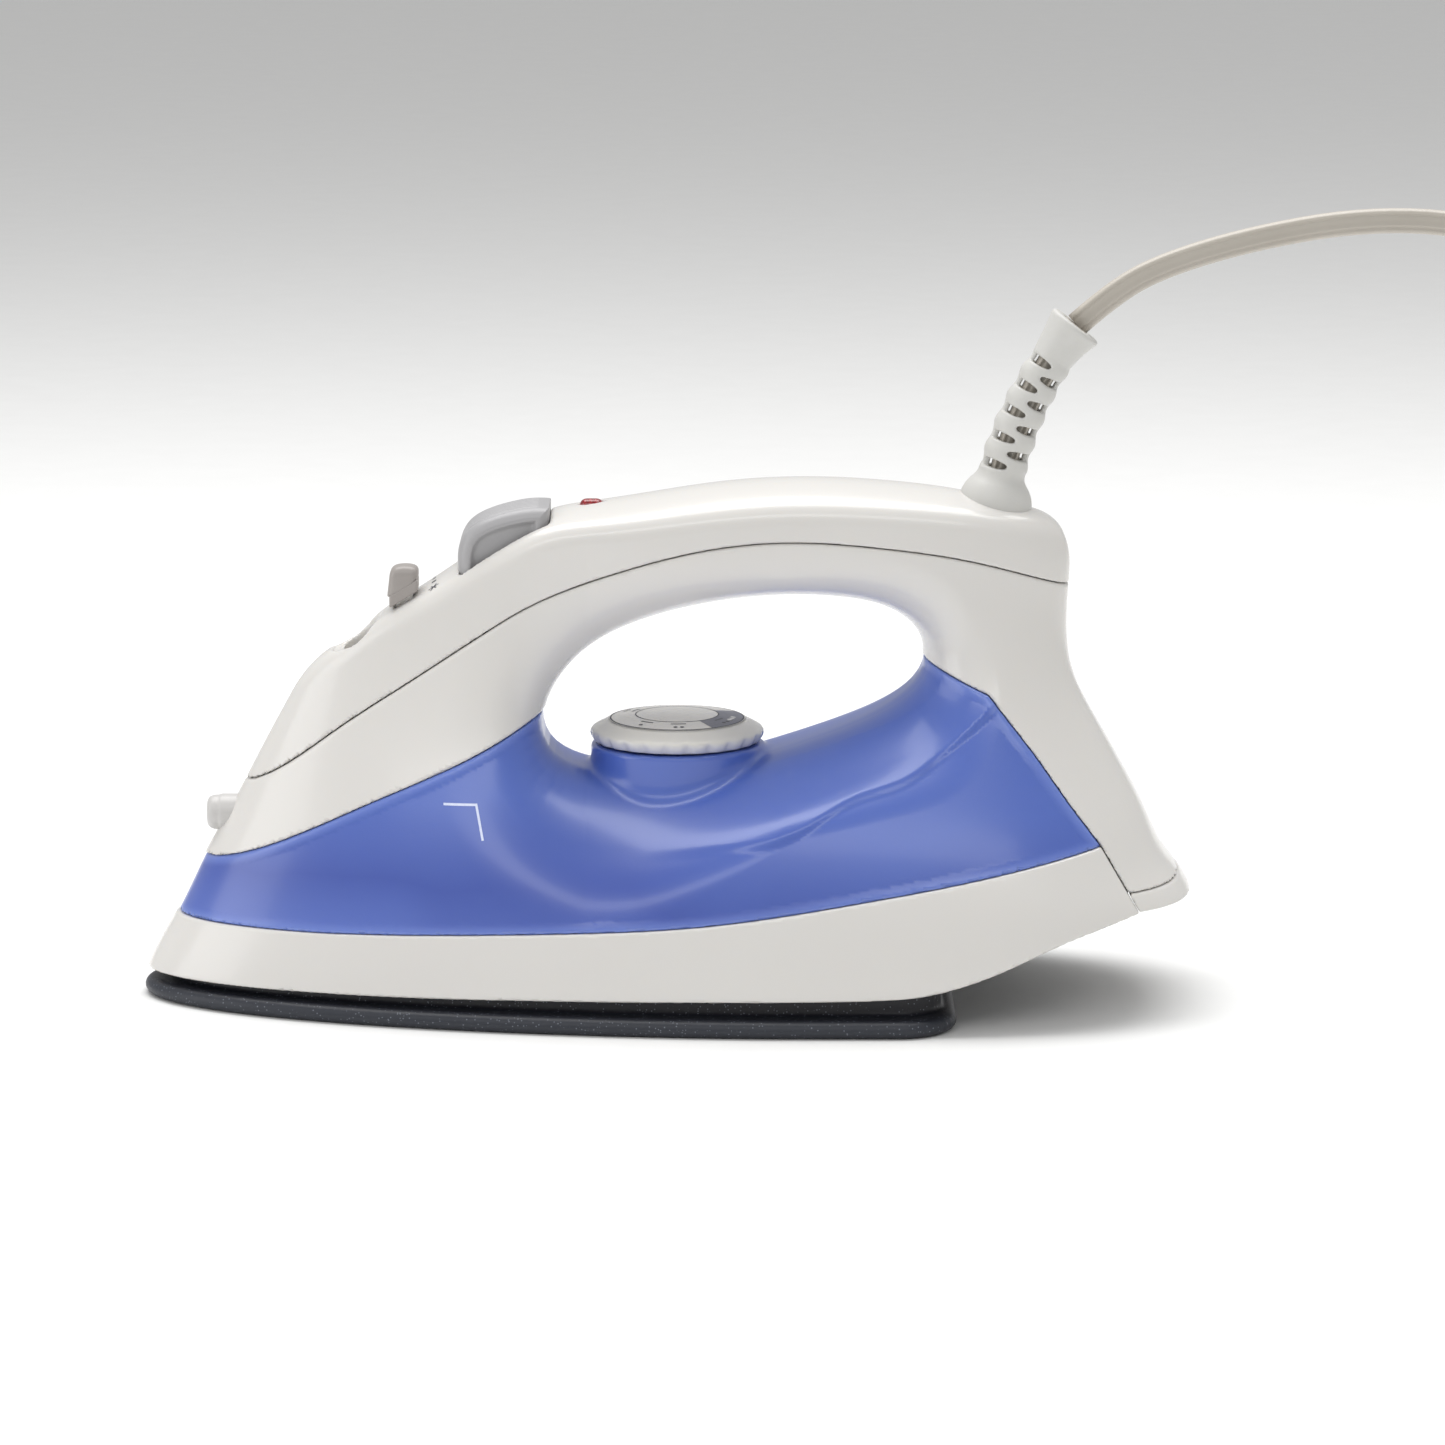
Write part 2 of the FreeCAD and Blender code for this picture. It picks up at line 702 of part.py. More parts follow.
def contact_leaves():
    """Three spring strips that reach back from the thermostat's stack."""
    strips = []
    for i, y in enumerate((-4.5, 0.0, 4.5)):
        z = casting_top + 3.2 + 1.8 * i
        strips.append(box((dial_x + 9, y - 1.6, z), (dial_x + 22, y + 1.6, z + 0.5)))
    return group(strips)


def thermal_cutout():
    body = rod(2.6, (20, 18, casting_top + 2.6), 12, Vec(1, 0, 0))
    ends = [rod(0.8, (x, 18, casting_top + 2.6), 5, Vec(1, 0, 0)) for x in (15, 32)]
    return fuse(body, *ends)


# ---- steam lever and rod -------------------------------------------------------------------
def steam_lever():
    y = lever_rest_y
    skin = height_on(top_line, valve_x)
    cap_low = skin + lever_gap - 0.2
    cap = box((valve_x - lever_width / 2, y - lever_cap_depth / 2, cap_low),
              (valve_x + lever_width / 2, y + lever_cap_depth / 2, lever_cap_top))
    lift = skin + lever_gap + 0.4
    slope = [(valve_x - 12, lift - 12 * 0.72), (valve_x + 12, lift + 12 * 0.66)]
    under = joined_prism(straight(slope[0], slope[1], (valve_x + 12, 80), (valve_x - 12, 80), slope[0]))
    plate_top = skin - wall - 3.4
    half = lever_stem / 2
    stem = box((valve_x - half, y - half, plate_top), (valve_x + half, y + half, cap_low + 4))
    low_end, high_end = -lever_travel - ramp_end, ramp_end
    ramp = ramp_block(low_end, high_end, plate_top)
    return fuse(fuse(cap.cut(under), stem), ramp)


def ramp_height(y):
    """Underside of the lever's ramp at rest: it rises away from the resting side."""
    return rod_top + ramp_gap - rod_lift / lever_travel * y




def ramp_block(low_y, high_y, top):
    x0, x1 = valve_x - 3.0, valve_x + 3.0
    outline = [(low_y, top), (high_y, top), (high_y, ramp_height(high_y)), (low_y, ramp_height(low_y))]
    points = [Vec(x0, y, z) for y, z in outline]
    return Part.Face(Part.makePolygon(points + points[:1])).extrude(Vec(x1 - x0, 0, 0))


def steam_rod():
    tip = Part.makeCone(0.8, rod_radius, 1.6, Vec(valve_x, 0, 24.0))
    return fuse(tip, rod(rod_radius, (valve_x, 0, 25.6), rod_top - 25.6))


# ---- pump and spray ------------------------------------------------------------------------
def pump_barrel():
    body = rod(pump_radius, (pump_x, 0, pump_bottom), pump_top - pump_bottom)
    body = body.cut(rod(pump_bore, (pump_x, 0, pump_bottom + 3), 40))
    body = body.cut(rod(tube_bore, (pump_x, 0, pump_bottom - 1), 6))
    return body.cut(rod(tube_radius, (pump_x, 0, pump_bottom + 4.5), 12, Vec(0, 1, 0)))


def pump_piston():
    piston = rod(pump_bore - piston_fit, (pump_x, 0, 92), 4)
    return fuse(piston, rod(stem_radius, (pump_x, 0, 96), 17))


def pump_spring():
    low, high = pump_top, 113.0 - spring_wire
    coils = []
    pitch = (high - low - spring_wire) / (spring_turns - 1)
    for i in range(spring_turns):
        z = low + spring_wire + pitch * i
        coils.append(Part.makeTorus(spring_radius, spring_wire, Vec(pump_x, 0, z)))
    return group(coils)


def suction_tube():
    low = height_on(skirt_top, pump_x) + floor_lift + floor_thick + 2
    tube = rod(tube_radius, (pump_x, 0, low), pump_bottom - low)
    return tube.cut(rod(tube_bore, (pump_x, 0, low - 1), 90))


def bent_path(points):
    """Straight runs joined by tangent arcs, each as large as its two runs allow."""
    nodes = [Vec(*p) for p in points]
    edges, radii = [], []
    start = nodes[0]
    for before, here, after in zip(nodes, nodes[1:], nodes[2:]):
        run_in, run_out = here - before, after - here
        turn = run_in.getAngle(run_out)
        shorter = min(run_in.Length, run_out.Length)
        cut = 0.45 * shorter
        radius = cut / math.tan(turn / 2)
        way_in, way_out = Vec(run_in).normalize(), Vec(run_out).normalize()
        arc_start, arc_end = here - way_in * cut, here + way_out * cut
        bisector = (way_out - way_in).normalize()
        centre = here + bisector * (radius / math.cos(turn / 2))
        middle = centre - bisector * radius
        edges.append(Part.LineSegment(start, arc_start).toShape())
        edges.append(Part.Arc(arc_start, middle, arc_end).toShape())
        radii.append(radius)
        start = arc_end
    edges.append(Part.LineSegment(start, nodes[-1]).toShape())
    return Part.Wire(edges), radii


def tube_along(points, radius, bore=0.0):
    path, radii = bent_path(points)
    way = Vec(*points[1]) - Vec(*points[0])
    ring = Part.Wire(Part.makeCircle(radius, Vec(*points[0]), way))
    solid = path.makePipeShell([ring], True, True)
    if bore:
        inner = Part.Wire(Part.makeCircle(bore, Vec(*points[0]), way))
        solid = solid.cut(path.makePipeShell([inner], True, True))
    return solid, path.Length, radii


hose_route = [(pump_x, pump_radius, 84.5), (pump_x, 13, 84.5), (-54, 14, 80), (-68, 12, 70),
              (-82, 8, 58), (-92, 3, 50.5), (nozzle_back_x, 0, nozzle_z)]


def spray_hose():
    return tube_along(hose_route, tube_radius, tube_bore)[0]


def spray_nozzle():
    length = nozzle_back_x - nozzle_tip_x
    body = rod(nozzle_radius, (nozzle_tip_x, 0, nozzle_z), length, Vec(1, 0, 0))
    front = [e for e in body.Edges if e.BoundBox.XMax < nozzle_tip_x + small]
    body = body.makeFillet(1.2, front)
    return body.cut(rod(nozzle_bore, (nozzle_tip_x - 1, 0, nozzle_z), length - 2, Vec(1, 0, 0)))


def nozzle_tip():
    tip = rod(nozzle_bore, (nozzle_tip_x + 0.4, 0, nozzle_z), 8, Vec(1, 0, 0))
    return tip.cut(rod(0.6, (nozzle_tip_x - 1, 0, nozzle_z), 20, Vec(1, 0, 0)))


# ---- filling funnel, lamp ------------------------------------------------------------------
def fill_funnel(inner):
    low = height_on(tank_front_edge, fill_x) - wall - 4
    spout = rod(fill_radius + fill_wall, (fill_x, 0, low), 88 - low)
    cup = fill_mouth(fill_wall, 84, 120).common(inner)
    body = fuse(spout, cup)
    return body.cut(rod(fill_radius, (fill_x, 0, 0), 150)).cut(fill_mouth(0, 86, 150))


def lamp_lens():
    top = lens_shape(0, 120, lens_top)
    rim = [e for e in top.Edges if e.BoundBox.ZMin > lens_top - small]
    return top.makeFillet(0.8, rim)


def pilot_lamp():
    return rod(lamp_radius, (lens_x - 7, 0, 120 - lamp_radius), 14, Vec(1, 0, 0))


# ---- mains side ----------------------------------------------------------------------------
guard_start = math.radians(guard_lean - guard_bend)
guard_way = Vec(math.sin(guard_start), 0, math.cos(guard_start))


def guard_arc(share):
    """Place and direction along the guard, from its foot (0) to its mouth (1)."""
    radius = guard_length / 2 / math.sin(math.radians(guard_bend))
    angle = guard_start + 2 * math.radians(guard_bend) * share
    centre = guard_foot + Vec(math.cos(guard_start), 0, -math.sin(guard_start)) * radius
    place = centre + Vec(-math.cos(angle), 0, math.sin(angle)) * radius
    return place, Vec(math.sin(angle), 0, math.cos(angle))


def guard_pipe(radius):
    """A bent round bar along the guard's whole arc."""
    bend = guard_length / 2 / math.sin(math.radians(guard_bend))
    centre = guard_foot + Vec(math.cos(guard_start), 0, -math.sin(guard_start)) * bend
    disc = Part.Face(Part.Wire(Part.makeCircle(radius, guard_foot, guard_way)))
    return disc.revolve(centre, Vec(0, 1, 0), 2 * guard_bend)


def cord_guard(outer):
    """Slotted strain relief: flange, flexible rings on a core, plain flared sleeve."""
    core = guard_pipe(guard_core)
    arc_length = guard_length * math.radians(guard_bend) / math.sin(math.radians(guard_bend))
    sleeve_share = 1 - guard_sleeve / arc_length
    place, way = guard_arc(1.0)
    flare = Part.makeCone(guard_core + 0.5, guard_mouth, guard_sleeve, place - way * guard_sleeve, way)
    body = fuse(core, flare)
    first, last = 0.20, sleeve_share - 0.03
    for i in range(guard_rings):
        place, way = guard_arc(first + (last - first) * i / (guard_rings - 1))
        ring = rod(guard_ring, place - way * (guard_ring_thick / 2), guard_ring_thick, way)
        body = body.fuse(ring)
    neck = rod(guard_ring, guard_foot - guard_way * 4, 9, guard_way)
    dome = Part.makeCone(guard_flange, guard_ring, 5, guard_foot - guard_way * 3, guard_way)
    skin = fuse(neck, dome).cut(outer)
    plug = rod(guard_plug_radius, guard_foot - guard_way * guard_depth, guard_depth, guard_way)
    body = body.fuse(skin).fuse(plug)
    foot_bore = rod(lead_radius, guard_foot - guard_way * 20, 20.5, guard_way)
    return body.cut(guard_pipe(guard_bore)).cut(foot_bore)


def terminal_block():
    block = box(block_corner, block_corner + block_size)
    for y in (-5.5, 5.5):
        screw_x = block_corner.x + block_size.x / 2
        block = block.cut(rod(2.0, (screw_x, y, block_corner.z + 5), 20))
    return block


def inner_lead():
    """Cord inside the handle, from the guard's foot down to the terminal block."""
    top = guard_foot - guard_way * guard_depth
    upper = top - guard_way * 9
    block_x, block_top = block_corner.x + block_size.x / 2, block_corner.z + block_size.z
    route = [tuple(top), tuple(upper), (block_x - 1, 0, block_top + 5.5), (block_x, 0, block_top)]
    return tube_along(route, lead_radius)[0]


def cord_clamp():
    centre = guard_foot - guard_way * 16
    block = box((centre.x - 8, -11, centre.z - 3), (centre.x + 8, 11, centre.z + 3))
    return block.cut(rod(lead_radius, centre - guard_way * 12, 24, guard_way))


def element_leads():
    """Insulated wires from the terminal block down behind the tank to the element's pins."""
    def lead(side):
        route = [(block_corner.x + block_size.x, side * 5.5, 92), (98, side * 6, 88.5),
                 (100, side * 7, 79), (104, side * 8.5, 67), (110.5, side * 11, 54),
                 (112.5, side * 14, 41.5), (105, side * 17, 32), (90, side * 20.5, 27.5),
                 (74, side * 24.5, 26), (element_back_x + pin_reach, side * element_spread, pin_top + wire_radius)]
        return tube_along(route, wire_radius)[0]
    return mirrored(lead)


mouth = guard_arc(1.0)[0]
cord_route = [
    (mouth.x, 0, mouth.z), (mouth.x + 9.2, 0, mouth.z + 8.2), (mouth.x + 21.2, 0, mouth.z + 15),
    (mouth.x + 43, 0, mouth.z + 21.8), (176, 0, 201.0), (203, 0, 200.2), (226, -2, 192), (243, -5, 174),
    (252, -9, 149), (256, -14, 121), (261.5, -19, 93), (268, -24.5, 65), (277, -30, 39.5),
    (291, -35, 19.5), (310, -39.2, 7.2), (coil_centre.x, -coil_middle_radius - 7.0, 3.4),
]
tail_route = [
    (coil_centre.x, coil_middle_radius + 7.0, 9.4), (317, 41.8, 9.2), (303, 42.4, 8.2), (290, 43.6, 7.6),
]


def power_cord():
    solid, length, radii = tube_along(cord_route, cord_diameter / 2)
    print("cord radii", [round(r) for r in radii], "length", round(length))
    print("cord volume ratio", solid.Volume / (math.pi * cord_diameter ** 2 / 4 * length))
    return solid


def cord_tail():
    solid, length, radii = tube_along(tail_route, cord_diameter / 2)
    print("tail radii", [round(r) for r in radii], "length", round(length))
    return solid


def cord_coil():
    spread = coil_pitch * (coil_wraps - 1) / 2 + cord_diameter / 4
    height = coil_layers * cord_diameter
    ring = rod(coil_middle_radius + spread, coil_centre, height)
    return ring.cut(rod(coil_middle_radius - spread, coil_centre - Vec(0, 0, 1), height + 2))


def plug_body():
    x, y, z = tail_route[-1]
    low = Vec(x - plug_size.x, y - plug_size.y / 2, 0)
    body = box(low, low + plug_size)
    upright = [e for e in body.Edges if abs(e.tangentAt(e.FirstParameter).z) > 0.9]
    return body.makeFillet(4.0, upright)


def plug_blades():
    x, y, z = tail_route[-1]
    blades = []
    for side in (-1, 1):
        low = Vec(x - plug_size.x - blade_size.x, y + side * blade_spacing / 2 - blade_size.y / 2,
                  plug_size.z / 2 - blade_size.z / 2)
        blades.append(box(low, low + blade_size))
    return group(blades)


def main():
    outer, inner = body_half(0.0), body_half(wall)
    element, pins = heating_element(), element_pins()
    keep("heating_element", element)
    keep("element_pins", pins)
    keep("soleplate", soleplate(element, pins))
    keep("chamber_cover", chamber_cover())
    keep("chamber_screws", chamber_screws())
    keep("skirt", skirt(outer, inner))
    keep("under_cover", under_cover())
    keep("spacers", spacers())
    keep("spacer_screws", spacer_screws())
    keep("tank_floor", tank_floor())
    keep("tank_shell", tank_shell(outer, inner))
    keep("handle_body", handle_body(outer, inner))
    keep("handle_cover", handle_cover(outer, inner))
    keep("heel_cover", heel_cover(outer))
    keep("heel_screws", heel_screws())
    keep("dial", dial())
    keep("dial_face", dial_face())
    keep("thermostat_shaft", thermostat_shaft())
    keep("thermostat", thermostat())
    keep("contact_leaves", contact_leaves())
    keep("thermal_cutout", thermal_cutout())
    keep("steam_lever", steam_lever())
    keep("steam_rod", steam_rod())
    keep("valve_seat", valve_seat())
    keep("spray_button", spray_button())
    keep("pump_piston", pump_piston())
    keep("pump_spring", pump_spring())
    keep("pump_barrel", pump_barrel())
    keep("suction_tube", suction_tube())
    keep("spray_hose", spray_hose())
    keep("spray_nozzle", spray_nozzle())
    keep("nozzle_tip", nozzle_tip())
    keep("fill_funnel", fill_funnel(both_sides(inner)))
    keep("lamp_lens", lamp_lens())
    keep("pilot_lamp", pilot_lamp())
    keep("cord_guard", cord_guard(both_sides(outer)))
    keep("terminal_block", terminal_block())
    keep("inner_lead", inner_lead())
    keep("cord_clamp", cord_clamp())
    keep("element_leads", element_leads())
    keep("power_cord", power_cord())
    keep("cord_coil", cord_coil())
    keep("cord_tail", cord_tail())
    keep("plug_body", plug_body())
    keep("plug_blades", plug_blades())
    os.makedirs("parts", exist_ok=True)
    for name, shape in pieces.items():
        b = shape.optimalBoundingBox()
        print(name, shape.isValid(), len(shape.Solids), round(shape.Volume / 1000, 2),
              [round(v, 1) for v in (b.XMin, b.XMax, b.YMin, b.YMax, b.ZMin, b.ZMax)])
        shape.exportStep("parts/" + name + ".step")


main()
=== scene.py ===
import bpy
import bmesh
import math
import numpy as np
import openvdb
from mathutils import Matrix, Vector


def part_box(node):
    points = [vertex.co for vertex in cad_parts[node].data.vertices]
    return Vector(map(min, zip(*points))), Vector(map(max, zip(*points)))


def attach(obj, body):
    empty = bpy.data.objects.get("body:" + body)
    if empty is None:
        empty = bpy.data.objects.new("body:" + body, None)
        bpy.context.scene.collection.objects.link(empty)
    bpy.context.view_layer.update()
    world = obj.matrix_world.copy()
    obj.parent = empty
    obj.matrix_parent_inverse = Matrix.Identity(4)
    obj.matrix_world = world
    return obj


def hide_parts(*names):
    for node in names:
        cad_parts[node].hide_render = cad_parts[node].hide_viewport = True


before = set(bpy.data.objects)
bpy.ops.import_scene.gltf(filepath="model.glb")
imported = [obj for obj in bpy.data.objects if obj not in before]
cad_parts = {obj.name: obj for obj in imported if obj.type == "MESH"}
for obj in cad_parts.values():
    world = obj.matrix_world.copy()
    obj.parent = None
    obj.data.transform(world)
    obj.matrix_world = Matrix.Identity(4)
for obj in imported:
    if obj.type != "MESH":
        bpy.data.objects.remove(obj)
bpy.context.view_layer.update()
mm = 0.001


# small helpers
def hexColour(code, alpha=1.0):
    channels = [int(code[i:i + 2], 16) / 255 for i in (1, 3, 5)]
    linear = [c / 12.92 if c <= 0.04045 else ((c + 0.055) / 1.055) ** 2.4 for c in channels]
    return (*linear, alpha)


def addNode(tree, kind, settings=None, **links):
    # settings: input or property values, links: input name to another node's output
    node = tree.nodes.new(kind)
    for key, value in (settings or {}).items():
        if isinstance(key, int) or key in node.inputs:
            node.inputs[key].default_value = value
        else:
            setattr(node, key, value)
    for key, source in links.items():
        socket = node.inputs[int(key[1:])] if key[0] == "i" and key[1:].isdigit() else node.inputs[key]
        tree.links.new(source, socket)
    return node


def newMaterial(name):
    material = bpy.data.materials.new(name)
    material.use_nodes = True
    tree = material.node_tree
    tree.nodes.clear()
    out = tree.nodes.new("ShaderNodeOutputMaterial")
    shader = tree.nodes.new("ShaderNodeBsdfPrincipled")
    tree.links.new(shader.outputs[0], out.inputs[0])
    return material, tree, shader


def objectFrom(name, points, faces, material=None, normals=None):
    mesh = bpy.data.meshes.new(name)
    faces = np.asarray(faces, dtype=np.int32)
    mesh.vertices.add(len(points))
    mesh.vertices.foreach_set("co", np.asarray(points, dtype=np.float32).ravel())
    mesh.loops.add(faces.size)
    mesh.loops.foreach_set("vertex_index", faces.ravel())
    mesh.polygons.add(len(faces))
    mesh.polygons.foreach_set("loop_start", np.arange(0, faces.size, faces.shape[1], dtype=np.int32))
    mesh.update(calc_edges=True)
    mesh.polygons.foreach_set("use_smooth", np.ones(len(faces), dtype=bool))
    mesh.validate()
    if normals is not None:
        mesh.normals_split_custom_set_from_vertices(normals.tolist())
    if material:
        mesh.materials.append(material)
    piece = bpy.data.objects.new(name, mesh)
    bpy.context.scene.collection.objects.link(piece)
    return piece


# camera
cameraSet = {"elevation": 11.0, "distance": 1.616, "lens": 156.2,
             "target": (0.0145, 0.0, 0.0709)}


def makeCamera():
    data = bpy.data.cameras.new("studioCamera")
    data.lens = cameraSet["lens"]
    data.sensor_width = 36.0
    camera = bpy.data.objects.new("studioCamera", data)
    lift = math.radians(cameraSet["elevation"])
    away = Vector((0, -math.cos(lift), math.sin(lift))) * cameraSet["distance"]
    camera.location = Vector(cameraSet["target"]) + away
    camera.rotation_euler = (math.pi / 2 - lift, 0, 0)
    bpy.context.scene.collection.objects.link(camera)
    bpy.context.scene.camera = camera


makeCamera()
print("camera placed")

# mains cord
guard = {"foot": (84.6, 0.0, 130.0), "length": 48.4, "lean": 24.5, "bend": 14.0}
guardStart = math.radians(guard["lean"] - guard["bend"])


def guardArc(share):
    # place and direction along the strain relief, foot 0, mouth 1
    turn = math.radians(guard["bend"])
    radius = guard["length"] / 2 / math.sin(turn)
    angle = guardStart + 2 * turn * share
    cx = guard["foot"][0] + radius * math.cos(guardStart)
    cz = guard["foot"][2] - radius * math.sin(guardStart)
    place = np.array((cx - radius * math.cos(angle), 0.0, cz + radius * math.sin(angle)))
    return place, np.array((math.sin(angle), 0.0, math.cos(angle)))


mouth = guardArc(1.0)[0]
cord = {"width": 6.4, "thick": 3.3, "ridges": 4, "coilRadius": 34.5, "wraps": 5, "pitch": 3.5,
        "turns": 9.5, "perTurn": 14, "coilX": 332.0, "low": 3.4, "high": 9.4}
cordRoute = [
    (mouth[0], 0, mouth[2]), (mouth[0] + 9.2, 0, mouth[2] + 8.2), (mouth[0] + 21.2, 0, mouth[2] + 15),
    (mouth[0] + 43, 0, mouth[2] + 21.8), (176, 0, 201.0), (203, 0, 200.2), (226, -2, 192), (243, -5, 174),
    (252, -9, 149), (256, -14, 121), (261.5, -19, 93), (268, -24.5, 65), (277, -30, 39.5),
    (291, -35, 19.5), (310, -39.2, 7.2), (cord["coilX"], -cord["coilRadius"] - 7.0, cord["low"]),
]
tailRoute = [
    (cord["coilX"], cord["coilRadius"] + 7.0, cord["high"]), (317, 41.8, 9.2), (303, 42.4, 8.2),
    (290, 43.6, 7.6),
]


def coilPoints():
    points = []
    count = int(cord["turns"] * cord["perTurn"])
    outer = cord["coilRadius"] + cord["pitch"] * (cord["wraps"] - 1) / 2
    for i in range(1, count):
        turn = i / cord["perTurn"]
        share = i / count
        inward = 1 - abs(2 * share - 1)          # out, in to the middle, out again
        radius = outer - cord["pitch"] * (cord["wraps"] - 1) * inward
        angle = -math.pi / 2 + 2 * math.pi * turn
        climb = min(1.0, max(0.0, (share - 0.47) / 0.06))
        height = cord["low"] + (cord["high"] - cord["low"]) * climb
        points.append((cord["coilX"] + radius * math.cos(angle), radius * math.sin(angle), height))
    return points


def routeCurve(name, points):
    data = bpy.data.curves.new(name, "CURVE")
    data.dimensions = "3D"
    data.resolution_u = 6
    spline = data.splines.new("NURBS")
    spline.points.add(len(points) - 1)
    for point, (x, y, z) in zip(spline.points, points):
        point.co = (x * mm, y * mm, z * mm, 1.0)
    spline.order_u = 3
    spline.use_endpoint_u = True
    curve = bpy.data.objects.new(name, data)
    bpy.context.scene.collection.objects.link(curve)
    mesh = bpy.data.meshes.new_from_object(curve)
    path = [v.co.copy() for v in mesh.vertices]
    bpy.data.objects.remove(curve)
    return path


def cordSection():
    # flat cord: two long ridged sides, rounded edges; first value across the width
    ring = []
    for i in range(48):
        angle = 2 * math.pi * i / 48
        c, s = math.cos(angle), math.sin(angle)
        wide = cord["width"] / 2 * math.copysign(abs(c) ** 0.62, c)
        groove = 1 - 0.4 * abs(math.cos(math.pi * cord["ridges"] * (wide / cord["width"] + 0.5))) ** 3
        thick = cord["thick"] / 2 * math.copysign(abs(s) ** 0.55, s) * groove
        ring.append((wide, thick))
    return ring


def flatCord(name, path, material, swell=1.0):
    ring = cordSection()
    points, along = [], []
    thin = Vector((0, -1, 0))
    for i, here in enumerate(path):
        way = (path[min(i + 1, len(path) - 1)] - path[max(i - 1, 0)]).normalized()
        thin = (thin - way * thin.dot(way)).normalized()
        wide = way.cross(thin)
        for across, depth in ring:
            points.append(here + wide * across * mm + thin * depth * swell * mm)
    count = len(ring)
    faces = []
    for i in range(len(path) - 1):
        for j in range(count):
            k = (j + 1) % count
            faces.append((i * count + j, i * count + k, (i + 1) * count + k, (i + 1) * count + j))
    piece = objectFrom(name, points, faces, material)
    mesh = bmesh.new()
    mesh.from_mesh(piece.data)
    mesh.verts.ensure_lookup_table()
    for ringStart in (0, len(points) - count):
        mesh.faces.new([mesh.verts[ringStart + j] for j in range(count)])
    bmesh.ops.recalc_face_normals(mesh, faces=mesh.faces)
    mesh.to_mesh(piece.data)
    mesh.free()
    return piece


def vinylCord():
    # soft grey-white PVC cord, extruded: smooth satin skin with a faint fine grain and patchy tone
    material, tree, shader = newMaterial("extrudedVinyl")
    place = addNode(tree, "ShaderNodeTexCoord")
    grain = addNode(tree, "ShaderNodeTexNoise", {"Scale": 900.0, "Detail": 3.0},
                    Vector=place.outputs["Object"])
    patch = addNode(tree, "ShaderNodeTexNoise", {"Scale": 40.0, "Detail": 2.0},
                    Vector=place.outputs["Object"])
    tone = addNode(tree, "ShaderNodeMix", {"data_type": "RGBA"}, Factor=patch.outputs["Fac"])
    tone.inputs[6].default_value = hexColour("#B3ACA1")
    tone.inputs[7].default_value = hexColour("#C2BCB2")
    bump = addNode(tree, "ShaderNodeBump", {"Strength": 0.25, "Distance": 0.0001},
                   Height=grain.outputs["Fac"])
    tree.links.new(tone.outputs[2], shader.inputs["Base Color"])
    tree.links.new(bump.outputs[0], shader.inputs["Normal"])
    shader.inputs["Roughness"].default_value = 0.38
    shader.inputs["IOR"].default_value = 1.53
    return material


vinyl = vinylCord()
cordPath = routeCurve("cordLine", cordRoute + coilPoints() + tailRoute)
powerCord = flatCord("mainsCord", cordPath, vinyl)
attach(powerCord, "iron")
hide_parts("power_cord", "cord_coil", "cord_tail")

# shape of the body, millimetres
def smoothLine(points):
    # natural cubic through given points; returns a function of the first coordinate
    xs = np.array([p[0] for p in points], dtype=float)
    ys = np.array([p[1] for p in points], dtype=float)
    n = len(xs)
    h = np.diff(xs)
    slopes = np.diff(ys) / h
    system = np.eye(n)
    right = np.zeros(n)
    for i in range(1, n - 1):
        system[i, i - 1:i + 2] = (h[i - 1], 2 * (h[i - 1] + h[i]), h[i])
        right[i] = 6 * (slopes[i] - slopes[i - 1])
    curve = np.linalg.solve(system, right)

    def value(at):
        i = np.clip(np.searchsorted(xs, at) - 1, 0, n - 2)
        left, rest, step = at - xs[i], xs[i + 1] - at, h[i]
        bow = (curve[i] * rest ** 3 + curve[i + 1] * left ** 3) / (6 * step)
        flat = (ys[i] / step - curve[i] * step / 6) * rest + (ys[i + 1] / step - curve[i + 1]
                                                              * step / 6) * left
        return bow + flat
    return value


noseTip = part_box("soleplate")[0][0] / mm      # the CAD's own ends
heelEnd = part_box("heel_cover")[1][0] / mm
form = {"halfWidth": 53.0, "wall": 2.4, "crown": 0.0152, "noseEase": 1.16, "heelEase": 0.62}
# height, nose inset, heel inset, narrower by, widest point
levels = [
    (-4.0, -2.5, -1.0, 0.0, 40), (8.2, 1.4, -0.6, 0.5, 40), (22, 8.8, -1.6, 2.0, 40),
    (30, 12.8, 0.85, 3.6, 40), (37, 16.2, 6.0, 5.6, 39), (48, 22.4, 11.6, 10.0, 37),
    (60, 28.8, 17.8, 16.0, 34), (72, 35.2, 24.6, 22.0, 31), (84, 41.6, 30.6, 27.0, 28),
    (96, 46.4, 32.6, 31.0, 24), (108, 49.8, 32.2, 33.2, 20), (117, 51.6, 32.4, 33.8, 20),
    (126, 53.0, 36.4, 34.0, 20), (140, 55.0, 45.0, 34.6, 20),
]
frontAt = smoothLine([(z, noseTip + a) for z, a, b, c, d in levels])
backAt = smoothLine([(z, heelEnd - b) for z, a, b, c, d in levels])
halfAt = smoothLine([(z, form["halfWidth"] - c) for z, a, b, c, d in levels])
widestAt = smoothLine([(z, d) for z, a, b, c, d in levels])
topAt = smoothLine([
    (-150, 43.5), (-125, 62.0), (-105, 76.8), (-92.5, 86.0), (-82, 93.6), (-71.7, 101.0), (-62, 107.0),
    (-50, 115.0), (-40, 121.2), (-30, 126.2), (-20, 128.3), (-5, 130.6), (12, 133.2), (34, 134.7),
    (57, 133.7), (76, 131.2), (90, 127.8), (100, 124.9), (125, 118.0), (150, 111.0),
])
coverSeam = [
    (-125, 56.0), (-108.7, 56.3), (-102.7, 58.9), (-84.6, 71.4), (-64, 85.2), (-46.6, 96.7),
    (-35.8, 103.3), (-16.7, 111.2), (8.4, 118.4), (33.7, 120.8), (54.5, 119.3), (77.6, 115.6),
    (103, 108.0), (125, 101.0),
]
